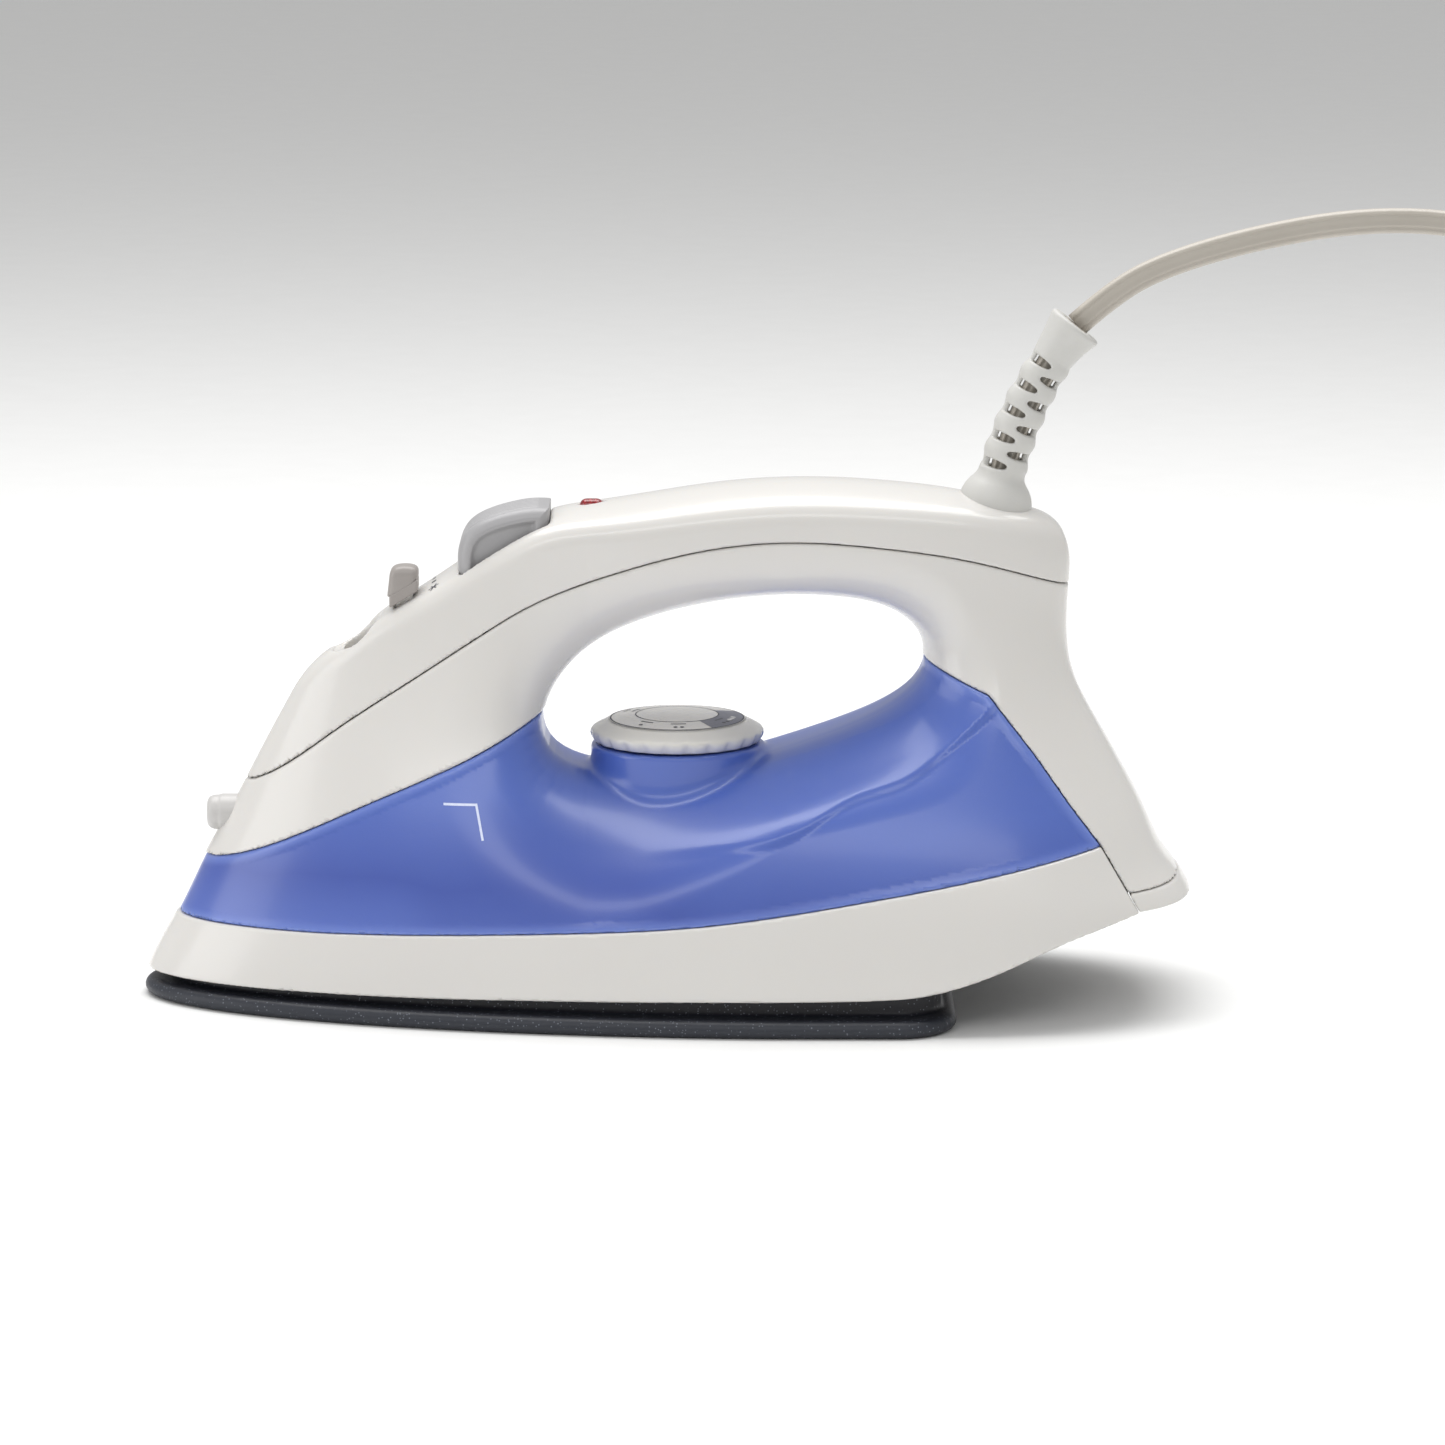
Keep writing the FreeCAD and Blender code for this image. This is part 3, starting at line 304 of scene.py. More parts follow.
tankFront = [
    (-135, 35.5), (-119.4, 36.8), (-110.5, 39), (-93.5, 45.8), (-75.1, 54.5), (-49.6, 66.2),
    (-30.9, 76), (-14, 84.5),
]
tankBack = [(56, 93.5), (82, 82.2), (93.6, 67.7), (102.3, 55.7), (110.4, 45.2)]
skirtTop = [
    (-145, 21.6), (-126.7, 21.8), (-89.3, 22.2), (-60.9, 23.3), (-27.8, 25), (8.4, 27.6),
    (47.2, 33.4), (76, 38.4), (110.4, 45.2),
]
skirtBottom = [
    (-145, 7.0), (-79, 7.2), (-28, 8.1), (29, 9), (51, 9.4), (62, 10), (74, 12.5), (86, 16.7),
    (98, 21.8), (120.2, 28.6),
]
openingLine = [
    (-31.4, 73.5), (-29.6, 66.5), (-22, 61.6), (-8, 60.2), (10, 61.2), (31.7, 66.8), (47, 72.4),
    (57.5, 77.8), (65.2, 86), (65.4, 94), (57.5, 101.6), (45, 104.8), (30, 105.4), (12, 103.4),
    (-6, 98.8), (-20, 91.6), (-28, 83),
]
dialSet = {"x": 2.8, "bottom": 66.6, "face": 17.6, "edge": 72.2, "top": 73.6, "notches": 24,
           "collar": 22.6, "gap": 0.08}
scoopSet = {"radius": 34.0, "side": 50.0, "front": (-8.0, 79.0), "back": (60.0, 93.0)}
heelFoot = {"low": 28.6, "high": 33.6}
seamGap = 0.24


def through(points, count=56):
    # smooth open line by chord length
    pts = np.array(points, dtype=float)
    run = np.concatenate([[0], np.cumsum(np.hypot(*np.diff(pts, axis=0).T))])
    at = np.linspace(0, run[-1], count)
    return np.stack([smoothLine(list(zip(run, pts[:, 0])))(at), smoothLine(list(zip(run, pts[:, 1])))(at)],
                    1)


def aroundLoop(points, count=96):
    pts = list(points)
    extended = pts[-3:] + pts + pts[:3]
    line = through(extended, 1200)
    first = np.argmin(np.hypot(*(line - np.array(pts[0])).T)[:600])
    last = 600 + np.argmin(np.hypot(*(line - np.array(pts[0])).T)[600:])
    pick = np.linspace(first, last, count, endpoint=False).astype(int)
    return line[pick]


def distanceTo(polygon, x, z):
    # signed distance to a closed outline, negative inside
    best = np.full(np.broadcast(x, z).shape, 1e9)
    inside = np.zeros(best.shape, dtype=bool)
    for (ax, az), (bx, bz) in zip(polygon, np.roll(polygon, -1, axis=0)):
        ex, ez = bx - ax, bz - az
        span = max(ex * ex + ez * ez, 1e-12)
        t = np.clip(((x - ax) * ex + (z - az) * ez) / span, 0, 1)
        best = np.minimum(best, (x - ax - t * ex) ** 2 + (z - az - t * ez) ** 2)
        crosses = (az > z) != (bz > z)
        if abs(ez) > 1e-9:
            inside ^= crosses & (x < ax + (z - az) * ex / ez)
    return np.where(inside, -1.0, 1.0) * np.sqrt(best)


def cut(a, b, k):
    # smooth intersection of two distance fields
    h = np.clip(1 - np.abs(a - b) / k, 0, 1)
    return np.maximum(a, b) + h * h * k * 0.25


def join(a, b, k):
    return -cut(-a, -b, k)


def planForm(x, y, z):
    front, back, half, widest = frontAt(z), backAt(z), halfAt(z), widestAt(z)
    ahead = np.maximum(widest - x, 0) / (widest - front)
    behind = np.maximum(x - widest, 0) / (back - widest)
    wide = np.abs(y) / half
    nose = np.sqrt(ahead ** (2 / form["noseEase"]) + wide ** 2 + 1e-9)
    heel = (behind ** (2 / form["heelEase"]) + wide ** 2.78 + 1e-9) ** 0.36
    return np.where(x < widest, nose, heel) - 1


def sideField(x, y, z):
    # distance to the iron's outer sides, nose and heel
    e = 0.25
    here = planForm(x, y, z)
    dx = planForm(x + e, y, z) - planForm(x - e, y, z)
    dy = planForm(x, np.abs(y) + 2 * e, z) - planForm(x, np.abs(y), z)
    dz = planForm(x, y, z + e) - planForm(x, y, z - e)
    return here / (np.sqrt(dx * dx + dy * dy + dz * dz) / (2 * e) + 1e-4)


def topField(x, y, z):
    height = z - topAt(x) + form["crown"] * y * y
    slope = (topAt(x + 0.5) - topAt(x - 0.5))
    return height / np.sqrt(1 + slope * slope + (2 * form["crown"] * y) ** 2)


def capsuleField(x, y, z, start, end, radius):
    sx, sy, sz = start
    ex, ey, ez = (b - a for a, b in zip(start, end))
    span = ex * ex + ey * ey + ez * ez
    t = np.clip(((x - sx) * ex + (y - sy) * ey + (z - sz) * ez) / span, 0, 1)
    return np.sqrt((x - sx - t * ex) ** 2 + (y - sy - t * ey) ** 2 + (z - sz - t * ez) ** 2) - radius


openingLoop = aroundLoop(openingLine)
rounding = {"ridge": 3.6, "opening": 15.0, "scoop": 5.0, "scoopFront": 18.0, "collar": 3.0, "seam": 0.6}


def bodyField(x, y, z):
    # the whole moulded body above the soleplate
    field = cut(sideField(x, y, z), topField(x, y, z), rounding["ridge"])
    sx, sz = scoopSet["front"]
    ex, ez = scoopSet["back"]
    side = scoopSet["side"]
    scoop = capsuleField(x, np.abs(y), z, (sx, side, sz), (ex, side, ez), scoopSet["radius"])
    field = cut(field, -scoop, rounding["scoop"] + rounding["scoopFront"] * np.clip((30 - x) / 50, 0, 1))
    field = cut(field, -distanceTo(openingLoop, x, z), rounding["opening"])
    collar = np.sqrt((x - dialSet["x"]) ** 2 + y ** 2) - dialSet["collar"]
    collar = cut(collar, z - dialSet["bottom"] + dialSet["gap"], 1.2)
    collar = cut(collar, 50 - z, 1.0)
    return join(field, collar, rounding["collar"])


def closed(line, *corners):
    return np.concatenate([line, np.array(corners, dtype=float)])


tankUpper = np.concatenate([through(tankFront), np.array(tankBack, dtype=float)])
regions = {
    "cover": closed(through(coverSeam), (300, 101), (300, 300), (-300, 300), (-300, 56)),
    "tank": np.concatenate([tankUpper, through(skirtTop)[::-1]]),
    "skirt": np.concatenate([through(skirtTop), through(skirtBottom)[::-1]]),
    "handle": np.concatenate([tankUpper,
                              np.array([(120.2, heelFoot["low"]), (300, heelFoot["low"]), (300, 101)]),
                              through(coverSeam)[::-1]]),
}


def boxField(x, y, z, low, high, k=0.6):
    field = None
    for value, a, b in zip((x, y, z), low, high):
        span = np.abs(value - (a + b) / 2) - (b - a) / 2
        field = span if field is None else cut(field, span, k)
    return field


def rodField(x, y, z, place, way, radius):
    # endless round bar
    px, py, pz = place
    wx, wy, wz = way
    t = (x - px) * wx + (y - py) * wy + (z - pz) * wz
    return np.sqrt((x - px - t * wx) ** 2 + (y - py - t * wy) ** 2 + (z - pz - t * wz) ** 2) - radius


def shelled(field, region, extra=None, gap=seamGap):
    # outer skin with the wall's thickness, cut at the seams with softened edges
    def value(x, y, z):
        outer = field(x, y, z)
        if extra is not None:
            outer = extra(x, y, z, outer)
        skin = np.maximum(outer, -outer - form["wall"])
        return cut(skin, distanceTo(regions[region], x, z) + gap / 2, rounding["seam"])
    return value


def fieldPiece(name, field, low, high, step, material=None, even=False):
    # meshes the zero surface of a field, then moves every point onto it; even: both sides of y = 0 are alike
    low, high = np.array(low, dtype=float), np.array(high, dtype=float)
    size = np.ceil((high - low) / step).astype(int) + 1
    if even:
        size[1] += 1 - size[1] % 2
        low[1] = -step * (size[1] // 2)
    xs = (low[0] + step * np.arange(size[0])).reshape(-1, 1, 1)
    ys = (low[1] + step * np.arange(size[1])).reshape(1, -1, 1)
    zs = (low[2] + step * np.arange(size[2])).reshape(1, 1, -1)
    if even:
        nearHalf = field(xs, ys[:, size[1] // 2:], zs)
        values = np.concatenate([nearHalf[:, :0:-1], nearHalf], axis=1).astype(np.float32)
    else:
        values = np.broadcast_to(field(xs, ys, zs), tuple(size)).astype(np.float32)
    grid = openvdb.FloatGrid()
    grid.copyFromArray(np.ascontiguousarray(np.clip(values, -3 * step, 3 * step)))
    points, quads = grid.convertToQuads(0.0)
    points = points.astype(float) * step + low
    used = np.unique(quads)
    renumber = np.zeros(len(points), dtype=np.int64)
    renumber[used] = np.arange(len(used))
    points, quads = points[used], renumber[quads]
    slope = None
    for turn in range(2):
        x, y, z = points.T
        e = 0.05
        here = field(x, y, z)
        slope = np.stack([field(x + e, y, z) - field(x - e, y, z), field(x, y + e, z) - field(x, y - e, z),
                          field(x, y, z + e) - field(x, y, z - e)], 1) / (2 * e)
        square = np.maximum((slope ** 2).sum(1), 0.2)
        stride = np.clip(here / square, -step, step)
        if turn == 0:
            points = points - slope * stride[:, None] * 0.95
    normals = slope / np.maximum(np.linalg.norm(slope, axis=1), 1e-6)[:, None]
    piece = objectFrom(name, points * mm, quads[:, ::-1] if flipped(points, quads, normals) else quads,
                       material, normals)
    print(name, len(quads), "quads")
    return piece


def flipped(points, quads, normals):
    pick = quads[:: max(1, len(quads) // 500)]
    a, b, c = points[pick[:, 0]], points[pick[:, 1]], points[pick[:, 2]]
    return (np.cross(b - a, c - a) * normals[pick[:, 0]]).sum() < 0

# handle cover
def whitePlastic():
    # gloss-moulded ABS: warm white, very fine orange peel, a clear sharp reflection over a soft body
    material, tree, shader = newMaterial("glossWhiteAbs")
    place = addNode(tree, "ShaderNodeTexCoord")
    peel = addNode(tree, "ShaderNodeTexNoise", {"Scale": 420.0, "Detail": 2.0},
                   Vector=place.outputs["Object"])
    flow = addNode(tree, "ShaderNodeTexNoise", {"Scale": 9.0, "Detail": 3.0},
                   Vector=place.outputs["Object"])
    tone = addNode(tree, "ShaderNodeMix", {"data_type": "RGBA"}, Factor=flow.outputs["Fac"])
    tone.inputs[6].default_value = hexColour("#D6D3CF")
    tone.inputs[7].default_value = hexColour("#DCDAD6")
    bump = addNode(tree, "ShaderNodeBump", {"Strength": 0.12, "Distance": 0.00005},
                   Height=peel.outputs["Fac"])
    rough = addNode(tree, "ShaderNodeMapRange", {"To Min": 0.2, "To Max": 0.28}, Value=flow.outputs["Fac"])
    tree.links.new(tone.outputs[2], shader.inputs["Base Color"])
    tree.links.new(rough.outputs[0], shader.inputs["Roughness"])
    tree.links.new(bump.outputs[0], shader.inputs["Normal"])
    shader.inputs["IOR"].default_value = 1.52
    shader.inputs["Subsurface Weight"].default_value = 0.08
    shader.inputs["Subsurface Radius"].default_value = (0.004, 0.003, 0.002)
    shader.inputs["Coat Weight"].default_value = 0.25
    shader.inputs["Coat Roughness"].default_value = 0.08
    return material


white = whitePlastic()
shellStep = 0.8
leverSlot = {"x": -67.0, "halfLong": 1.9, "low": -5.9, "high": 5.9}
buttonPocket = {"front": -52.6, "back": -29.5, "half": 10.9}
# the dish stays shallower than the wall, so the funnel's rim is never laid bare
fillRecess = {"x": -79.2, "z": 95.6, "long": 8.4, "half": 9.4, "deep": 2.1}
fillMouth = {"x": -78.5, "half": 3.5, "round": 4.2, "low": 84.0}
lens = {"x": -19.0, "long": 6.2, "wide": 4.2, "top": 129.2}
guardFoot = guard["foot"]
guardWay = guardArc(0.0)[1]


def handleCover(x, y, z, outer):
    slot = boxField(x, y, z, (leverSlot["x"] - leverSlot["halfLong"], leverSlot["low"], 90),
                    (leverSlot["x"] + leverSlot["halfLong"], leverSlot["high"], 130))
    pocket = boxField(x, y, z, (buttonPocket["front"], -buttonPocket["half"], 104),
                      (buttonPocket["back"], buttonPocket["half"], 140), 2.0)
    along = (x - fillRecess["x"]) * 0.742 + (z - fillRecess["z"]) * 0.67
    deep = (z - fillRecess["z"]) * 0.742 - (x - fillRecess["x"]) * 0.67
    dish = np.sqrt((along / fillRecess["long"]) ** 2 + (y / fillRecess["half"]) ** 2
                   + (deep / fillRecess["deep"]) ** 2)
    field = cut(outer, -(dish - 1) * fillRecess["deep"], 0.8)
    field = cut(field, -slot, 0.6)
    field = cut(field, -pocket, 0.7)
    return field


def coverHoles(x, y, z, field):
    # through holes of the cover: filling mouth, lamp lens, strain relief
    across = np.sqrt(((x - lens["x"]) / (lens["long"] / 2 + 0.15)) ** 2
                     + (y / (lens["wide"] / 2 + 0.15)) ** 2)
    field = cut(field, -(across - 1) * lens["wide"] / 2, 0.4)
    beside = np.maximum(np.abs(y) - fillMouth["half"], 0)
    mouthHole = np.sqrt((x - fillMouth["x"]) ** 2 + beside ** 2) - fillMouth["round"]
    mouthHole = np.maximum(mouthHole, fillMouth["low"] - z)
    field = cut(field, -mouthHole, 0.9)
    relief = rodField(x, y, z, guardFoot, guardWay, 6.6)
    relief = np.maximum(relief, 115 - z)
    return cut(field, -relief, 0.6)


def coverField(x, y, z):
    skin = shelled(bodyField, "cover", handleCover)(x, y, z)
    return coverHoles(x, y, z, skin)


coverPiece = fieldPiece("handleCoverShell", coverField, (-112, -52, 54), (105, 52, 137), shellStep, white,
                        True)
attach(coverPiece, "iron")
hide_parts("handle_cover")


# handle body
def handleField(x, y, z):
    skin = shelled(bodyField, "handle")(x, y, z)
    return np.maximum(skin, heelFoot["high"] + seamGap / 2 - z)


handlePiece = fieldPiece("handleBodyShell", handleField, (-126, -54, 30), (137, 54, 123), shellStep, white,
                         True)
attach(handlePiece, "iron")
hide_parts("handle_body")

# heel cover: closing plate under the heel
def heelField(x, y, z):
    solid = bodyField(x, y, z)
    solid = cut(solid, distanceTo(regions["handle"], x, z) + seamGap / 2, rounding["seam"])
    solid = cut(solid, z - heelFoot["high"] + seamGap / 2, 0.7)
    return cut(solid, heelFoot["low"] + 0.05 - z, 0.8)


heelPiece = fieldPiece("heelCoverPlate", heelField, (112, -54, 27), (137, 54, 35), 0.7, white, True)
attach(heelPiece, "iron")
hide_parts("heel_cover")


# skirt: lower white band
def skirtField(x, y, z):
    return shelled(bodyField, "skirt", None, 0.12)(x, y, z)


skirtPiece = fieldPiece("skirtBand", skirtField, (-137, -54.5, 5.5), (122, 54.5, 47), shellStep, white,
                        True)
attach(skirtPiece, "iron")
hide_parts("skirt")

# water tank
tank = {"creaseHigh": 0.9, "above": 22.0, "below": 3.2, "frameWide": 1.9, "frameDeep": 0.22}
crease = smoothLine([(-60, 37.5), (-28, 41), (-12, 43.5), (12, 47.2), (34, 52), (47, 59), (62, 64),
                     (71, 70),
                     (79, 76.5), (84, 81), (110, 104)])


def tankMark(x, y, z):
    # how far the side stands out beside the crease, and the welded frame inside the edges
    above = z - crease(x)
    rise = np.where(above > 0, np.exp(-np.maximum(above, 0) / tank["above"]),
                    np.clip(1 + above / tank["below"], 0, 1) ** 2
                    * (3 - 2 * np.clip(1 + above / tank["below"], 0, 1)))
    along = np.clip((x + 14) / 60, 0, 1)
    along = along * along * (3 - 2 * along) * np.clip((112 - x) / 22, 0, 1)
    edge = distanceTo(regions["tank"], x, z) + tank["frameWide"]
    border = tank["frameDeep"] * np.clip(edge / 1.8 + 0.5, 0, 1)
    return tank["creaseHigh"] * rise * along + border


def tankBody(x, y, z, outer):
    side = np.clip((np.abs(y) - 8) / 8, 0, 1)
    return outer - tankMark(x, y, z) * side + tank["creaseHigh"] * 0.5


def tankField(x, y, z):
    return shelled(bodyField, "tank", tankBody, 0.05)(x, y, z)


def tankPlastic():
    # translucent blue polycarbonate with painted shade: a darker band low across the side, lighter below and
    # above it, lighter at the welded rims, fine moulding grain and a bright soft reflection
    material, tree, shader = newMaterial("translucentBlueTank")
    place = addNode(tree, "ShaderNodeTexCoord")
    parts = addNode(tree, "ShaderNodeSeparateXYZ", Vector=place.outputs["Object"])
    rim = addNode(tree, "ShaderNodeAttribute", {"attribute_name": "rim"})
    cloud = addNode(tree, "ShaderNodeTexNoise", {"Scale": 14.0, "Detail": 2.0},
                    Vector=place.outputs["Object"])
    # painted shade: colour set by height, darkest in a band low on the tank, lighter below it and above it,
    # broken up by cloud noise
    height = addNode(tree, "ShaderNodeMapRange", {"From Min": 0.022, "From Max": 0.075},
                     Value=parts.outputs["Z"])
    paintedShadeAndCloud = addNode(tree, "ShaderNodeMath", {"operation": "MULTIPLY_ADD", 1: 0.8}, i0=cloud.outputs["Fac"],
                   i2=height.outputs[0])
    paintedShadeRamp = addNode(tree, "ShaderNodeValToRGB", i0=paintedShadeAndCloud.outputs[0])
    # the darkest stop (0.6) is the painted shade band, the outer stops the lighter blue below and above it
    stops = paintedShadeRamp.color_ramp.elements
    stops[0].position, stops[0].color = 0.2, hexColour("#5C74C3")
    stops[1].position, stops[1].color = 1.0, hexColour("#4E69BB")
    middle = stops.new(0.6)
    middle.color = hexColour("#3F56A9")
    tone = addNode(tree, "ShaderNodeMix", {"data_type": "RGBA"}, Factor=rim.outputs["Fac"],
                   i6=paintedShadeRamp.outputs[0])
    tone.inputs[7].default_value = hexColour("#6E85CE")
    grain = addNode(tree, "ShaderNodeTexNoise", {"Scale": 1600.0, "Detail": 2.0},
                    Vector=place.outputs["Object"])
    bump = addNode(tree, "ShaderNodeBump", {"Strength": 0.2, "Distance": 0.00006},
                   Height=grain.outputs["Fac"])
    rough = addNode(tree, "ShaderNodeMapRange", {"To Min": 0.26, "To Max": 0.38},
                    Value=cloud.outputs["Fac"])
    tree.links.new(tone.outputs[2], shader.inputs["Base Color"])
    tree.links.new(rough.outputs[0], shader.inputs["Roughness"])
    tree.links.new(bump.outputs[0], shader.inputs["Normal"])
    shader.inputs["IOR"].default_value = 1.58
    shader.inputs["Subsurface Weight"].default_value = 0.25
    shader.inputs["Subsurface Radius"].default_value = (0.003, 0.004, 0.009)
    shader.inputs["Coat Weight"].default_value = 0.4
    shader.inputs["Coat Roughness"].default_value = 0.15
    return material


# keeps this largest shell within its share of faces
tankStep = 1.09 * shellStep  # a coarser step keeps this largest shell's face count down
tankPiece = fieldPiece("waterTankShell", tankField, (-130, -52, 20), (113, 52, 96), tankStep, tankPlastic(),
                       True)
tankPoints = np.empty(len(tankPiece.data.vertices) * 3)
tankPiece.data.vertices.foreach_get("co", tankPoints)
tankPoints = tankPoints.reshape(-1, 3) / mm
rimDepth = -distanceTo(regions["tank"], tankPoints[:, 0], tankPoints[:, 2])
rimShare = np.clip(1.25 - rimDepth / tank["frameWide"], 0, 1)
rimData = tankPiece.data.attributes.new("rim", "FLOAT", "POINT")
rimData.data.foreach_set("value", (0.8 * rimShare).astype(np.float32))
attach(tankPiece, "iron")
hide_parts("tank_shell")
print("tank done")

# soleplate
plate = {"half": 55.0, "back": 74.0, "thick": 4.6, "corner": 15.0, "widest": 32.0, "inset": 8.0,
         "castTop": 15.0}


def plateOutline(inset):
    half, front = plate["half"] - inset, noseTip + inset
    turn = np.radians(np.linspace(90, 0, 60))
    xs = plate["widest"] - (plate["widest"] - front) * np.cos(turn) ** 1.16
    points = list(zip(xs, half * np.sin(turn)))
    corner, back = plate["corner"] - inset / 2, plate["back"] - inset / 2
    for i in range(11):
        angle = math.pi / 2 * i / 10
        points.insert(0,
                      (back - corner + corner * math.sin(angle), half - corner + corner * math.cos(angle)))
    whole = np.array(points)
    return np.concatenate([whole, (whole * (1, -1))[::-1][1:]])


plateEdge, castEdge = plateOutline(0.0), plateOutline(plate["inset"])


def plateField(x, y, z):
    flat = cut(distanceTo(plateEdge, x, y) + 0.02, np.abs(z - plate["thick"] / 2) - plate["thick"] / 2, 3.2)
    cast = cut(distanceTo(castEdge, x, y), z - plate["castTop"], 1.5)
    cast = np.maximum(cast, 2 - z)
    return join(flat, cast, 1.5)


def nonStick():
    # dark slate non-stick coat on the casting: fine pale speckle, satin, slightly pebbled
    material, tree, shader = newMaterial("speckledNonStick")
    place = addNode(tree, "ShaderNodeTexCoord")
    parts = addNode(tree, "ShaderNodeSeparateXYZ", Vector=place.outputs["Object"])
    cells = addNode(tree, "ShaderNodeTexVoronoi", {"Scale": 1300.0}, Vector=place.outputs["Object"])
    speck = addNode(tree, "ShaderNodeMapRange",
                    {"From Min": 0.16, "From Max": 0.28, "To Min": 1.0, "To Max": 0.0},
                    Value=cells.outputs["Distance"])
    pick = addNode(tree, "ShaderNodeSeparateColor", Color=cells.outputs["Color"])
    some = addNode(tree, "ShaderNodeMath", {"operation": "GREATER_THAN", 1: 0.55}, i0=pick.outputs[0])
    dots = addNode(tree, "ShaderNodeMath", {"operation": "MULTIPLY"}, i0=speck.outputs[0],
                   i1=some.outputs[0])
    faint = addNode(tree, "ShaderNodeMath", {"operation": "MULTIPLY", 1: 0.7}, i0=dots.outputs[0])
    lower = addNode(tree, "ShaderNodeMapRange", {"From Min": 0.0038, "From Max": 0.0052},
                    Value=parts.outputs["Z"])
    base = addNode(tree, "ShaderNodeMix", {"data_type": "RGBA"}, Factor=lower.outputs[0])
    base.inputs[6].default_value = hexColour("#2C2F37")
    base.inputs[7].default_value = hexColour("#1B1B22")
    tone = addNode(tree, "ShaderNodeMix", {"data_type": "RGBA"}, Factor=faint.outputs[0],
                   i6=base.outputs[2])
    tone.inputs[7].default_value = hexColour("#7C818B")
    bump = addNode(tree, "ShaderNodeBump", {"Strength": 0.35, "Distance": 0.0001},
                   Height=cells.outputs["Distance"])
    tree.links.new(tone.outputs[2], shader.inputs["Base Color"])
    tree.links.new(bump.outputs[0], shader.inputs["Normal"])
    shader.inputs["Roughness"].default_value = 0.42
    shader.inputs["IOR"].default_value = 1.45
    return material


platePiece = fieldPiece("soleplateCasting", plateField, (-136.5, -56, -1), (75, 56, 16), 0.8, nonStick(),
                        True)
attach(platePiece, "iron")
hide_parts("soleplate")

# spray button
button = {"half": 11.0, "foot": 107.0, "groovePitch": 2.2,
          "grooveDeep": 0.28}
buttonSide = closed(through([(-53.0, 111.0), (-52.9, 118.0), (-50.6, 122.6), (-45.6, 125.8), (-39.4, 127.7),
                              (-33.0, 128.6), (-29.5, 128.4)]), (-29.4, 106.0), (-53.0, 106.0))


def buttonField(x, y, z):
    side = distanceTo(buttonSide, x, z) + 0.1
    top = np.clip((z - 121.5) / 1.5, 0, 1) * np.clip((9.2 - np.abs(y)) / 1.0, 0,
                                                     1) * np.clip((-31.5 - x) / 1.5, 0, 1)
    ribs = (0.5 - 0.5 * np.cos(2 * math.pi * y / button["groovePitch"])) ** 3
    field = cut(side + button["grooveDeep"] * top * ribs, np.abs(y) - button["half"] + 0.1, 4.4)
    # sunk thumb panel on each side, inside a rounded rim
    panel = cut(side + 3.9, button["half"] - 1.7 - np.abs(y), 1.4)
    field = cut(field, -panel, 1.6)
    return cut(field, button["foot"] - z, 0.5)


def greyAbs(name, code, deep):
    # satin grey ABS: even moulded tone, faint cloudiness and fine matt grain
    material, tree, shader = newMaterial(name)
    place = addNode(tree, "ShaderNodeTexCoord")
    cloud = addNode(tree, "ShaderNodeTexNoise", {"Scale": 60.0, "Detail": 3.0},
                    Vector=place.outputs["Object"])
    tone = addNode(tree, "ShaderNodeMix", {"data_type": "RGBA"}, Factor=cloud.outputs["Fac"])
    tone.inputs[6].default_value = hexColour(deep)
    tone.inputs[7].default_value = hexColour(code)
    grain = addNode(tree, "ShaderNodeTexNoise", {"Scale": 2200.0, "Detail": 2.0},
                    Vector=place.outputs["Object"])
    bump = addNode(tree, "ShaderNodeBump", {"Strength": 0.25, "Distance": 0.00006},
                   Height=grain.outputs["Fac"])
    tree.links.new(tone.outputs[2], shader.inputs["Base Color"])
    tree.links.new(bump.outputs[0], shader.inputs["Normal"])
    shader.inputs["Roughness"].default_value = 0.36
    shader.inputs["IOR"].default_value = 1.52
    return material


coolGrey = greyAbs("satinCoolGrey", "#A9A8A9", "#9F9EA0")
buttonPiece = fieldPiece("sprayButtonCap", buttonField, (-54, -12, 106), (-28, 12, 130.5), 0.32, coolGrey,
                         True)
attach(buttonPiece, "spray_button")
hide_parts("spray_button")

# steam lever
lever = {"x": -67.0, "y": -4.0, "long": 7.6, "deep": 8.0, "top": 113.0, "base": 105.0, "lean": 0.12,
         "clear": 0.35}


def leverField(x, y, z):
    lean = (z - lever["base"]) * lever["lean"]
    dx, dy = np.abs(x - lever["x"] - lean + 0.6), np.abs(y - lever["y"])
    above = topField(x, 0 * y, z)  # level across, so the cap slides clear of the crown
    cap = cut(cut(dx - lever["long"] / 2 + 0.1, dy - lever["deep"] / 2 + 0.1, 2.4), z - lever["top"], 2.8)
    cap = cut(cap, lever["clear"] + 2.4 - above, 0.6)
    neck = cut(np.abs(x - lever["x"]) - lever["long"] / 2 + 0.1, dy - lever["deep"] / 2, 0.8)
    neck = cut(neck, np.abs(above - lever["clear"] - 1.3) - 1.3, 0.5)
    return np.minimum(cap, neck)


warmGrey = greyAbs("satinWarmGrey", "#A09A96", "#97918D")
leverPiece = fieldPiece("steamLeverCap", leverField, (-71.5, -9.5, 99), (-62.5, 1.5, 114), 0.22, warmGrey)
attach(leverPiece, "steam_lever")
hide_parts("steam_lever")

# spray nozzle
nozzle = {"x": -118.7, "z": 47.4, "radius": 4.75, "long": 12.0, "bore": 2.2}


def nozzleField(x, y, z):
    around = np.sqrt(y ** 2 + (z - nozzle["z"]) ** 2)
    body = cut(around - nozzle["radius"] + 0.25,
               np.abs(x - nozzle["x"] - nozzle["long"] / 2) - nozzle["long"] / 2, 2.6)
    step = cut(around - nozzle["radius"], nozzle["x"] + 3.4 - x, 0.8)
    body = join(body, np.maximum(step, x - nozzle["x"] - nozzle["long"]), 0.5)
    return cut(body, -np.maximum(around - nozzle["bore"], x - nozzle["x"] - 2.5), 0.8)


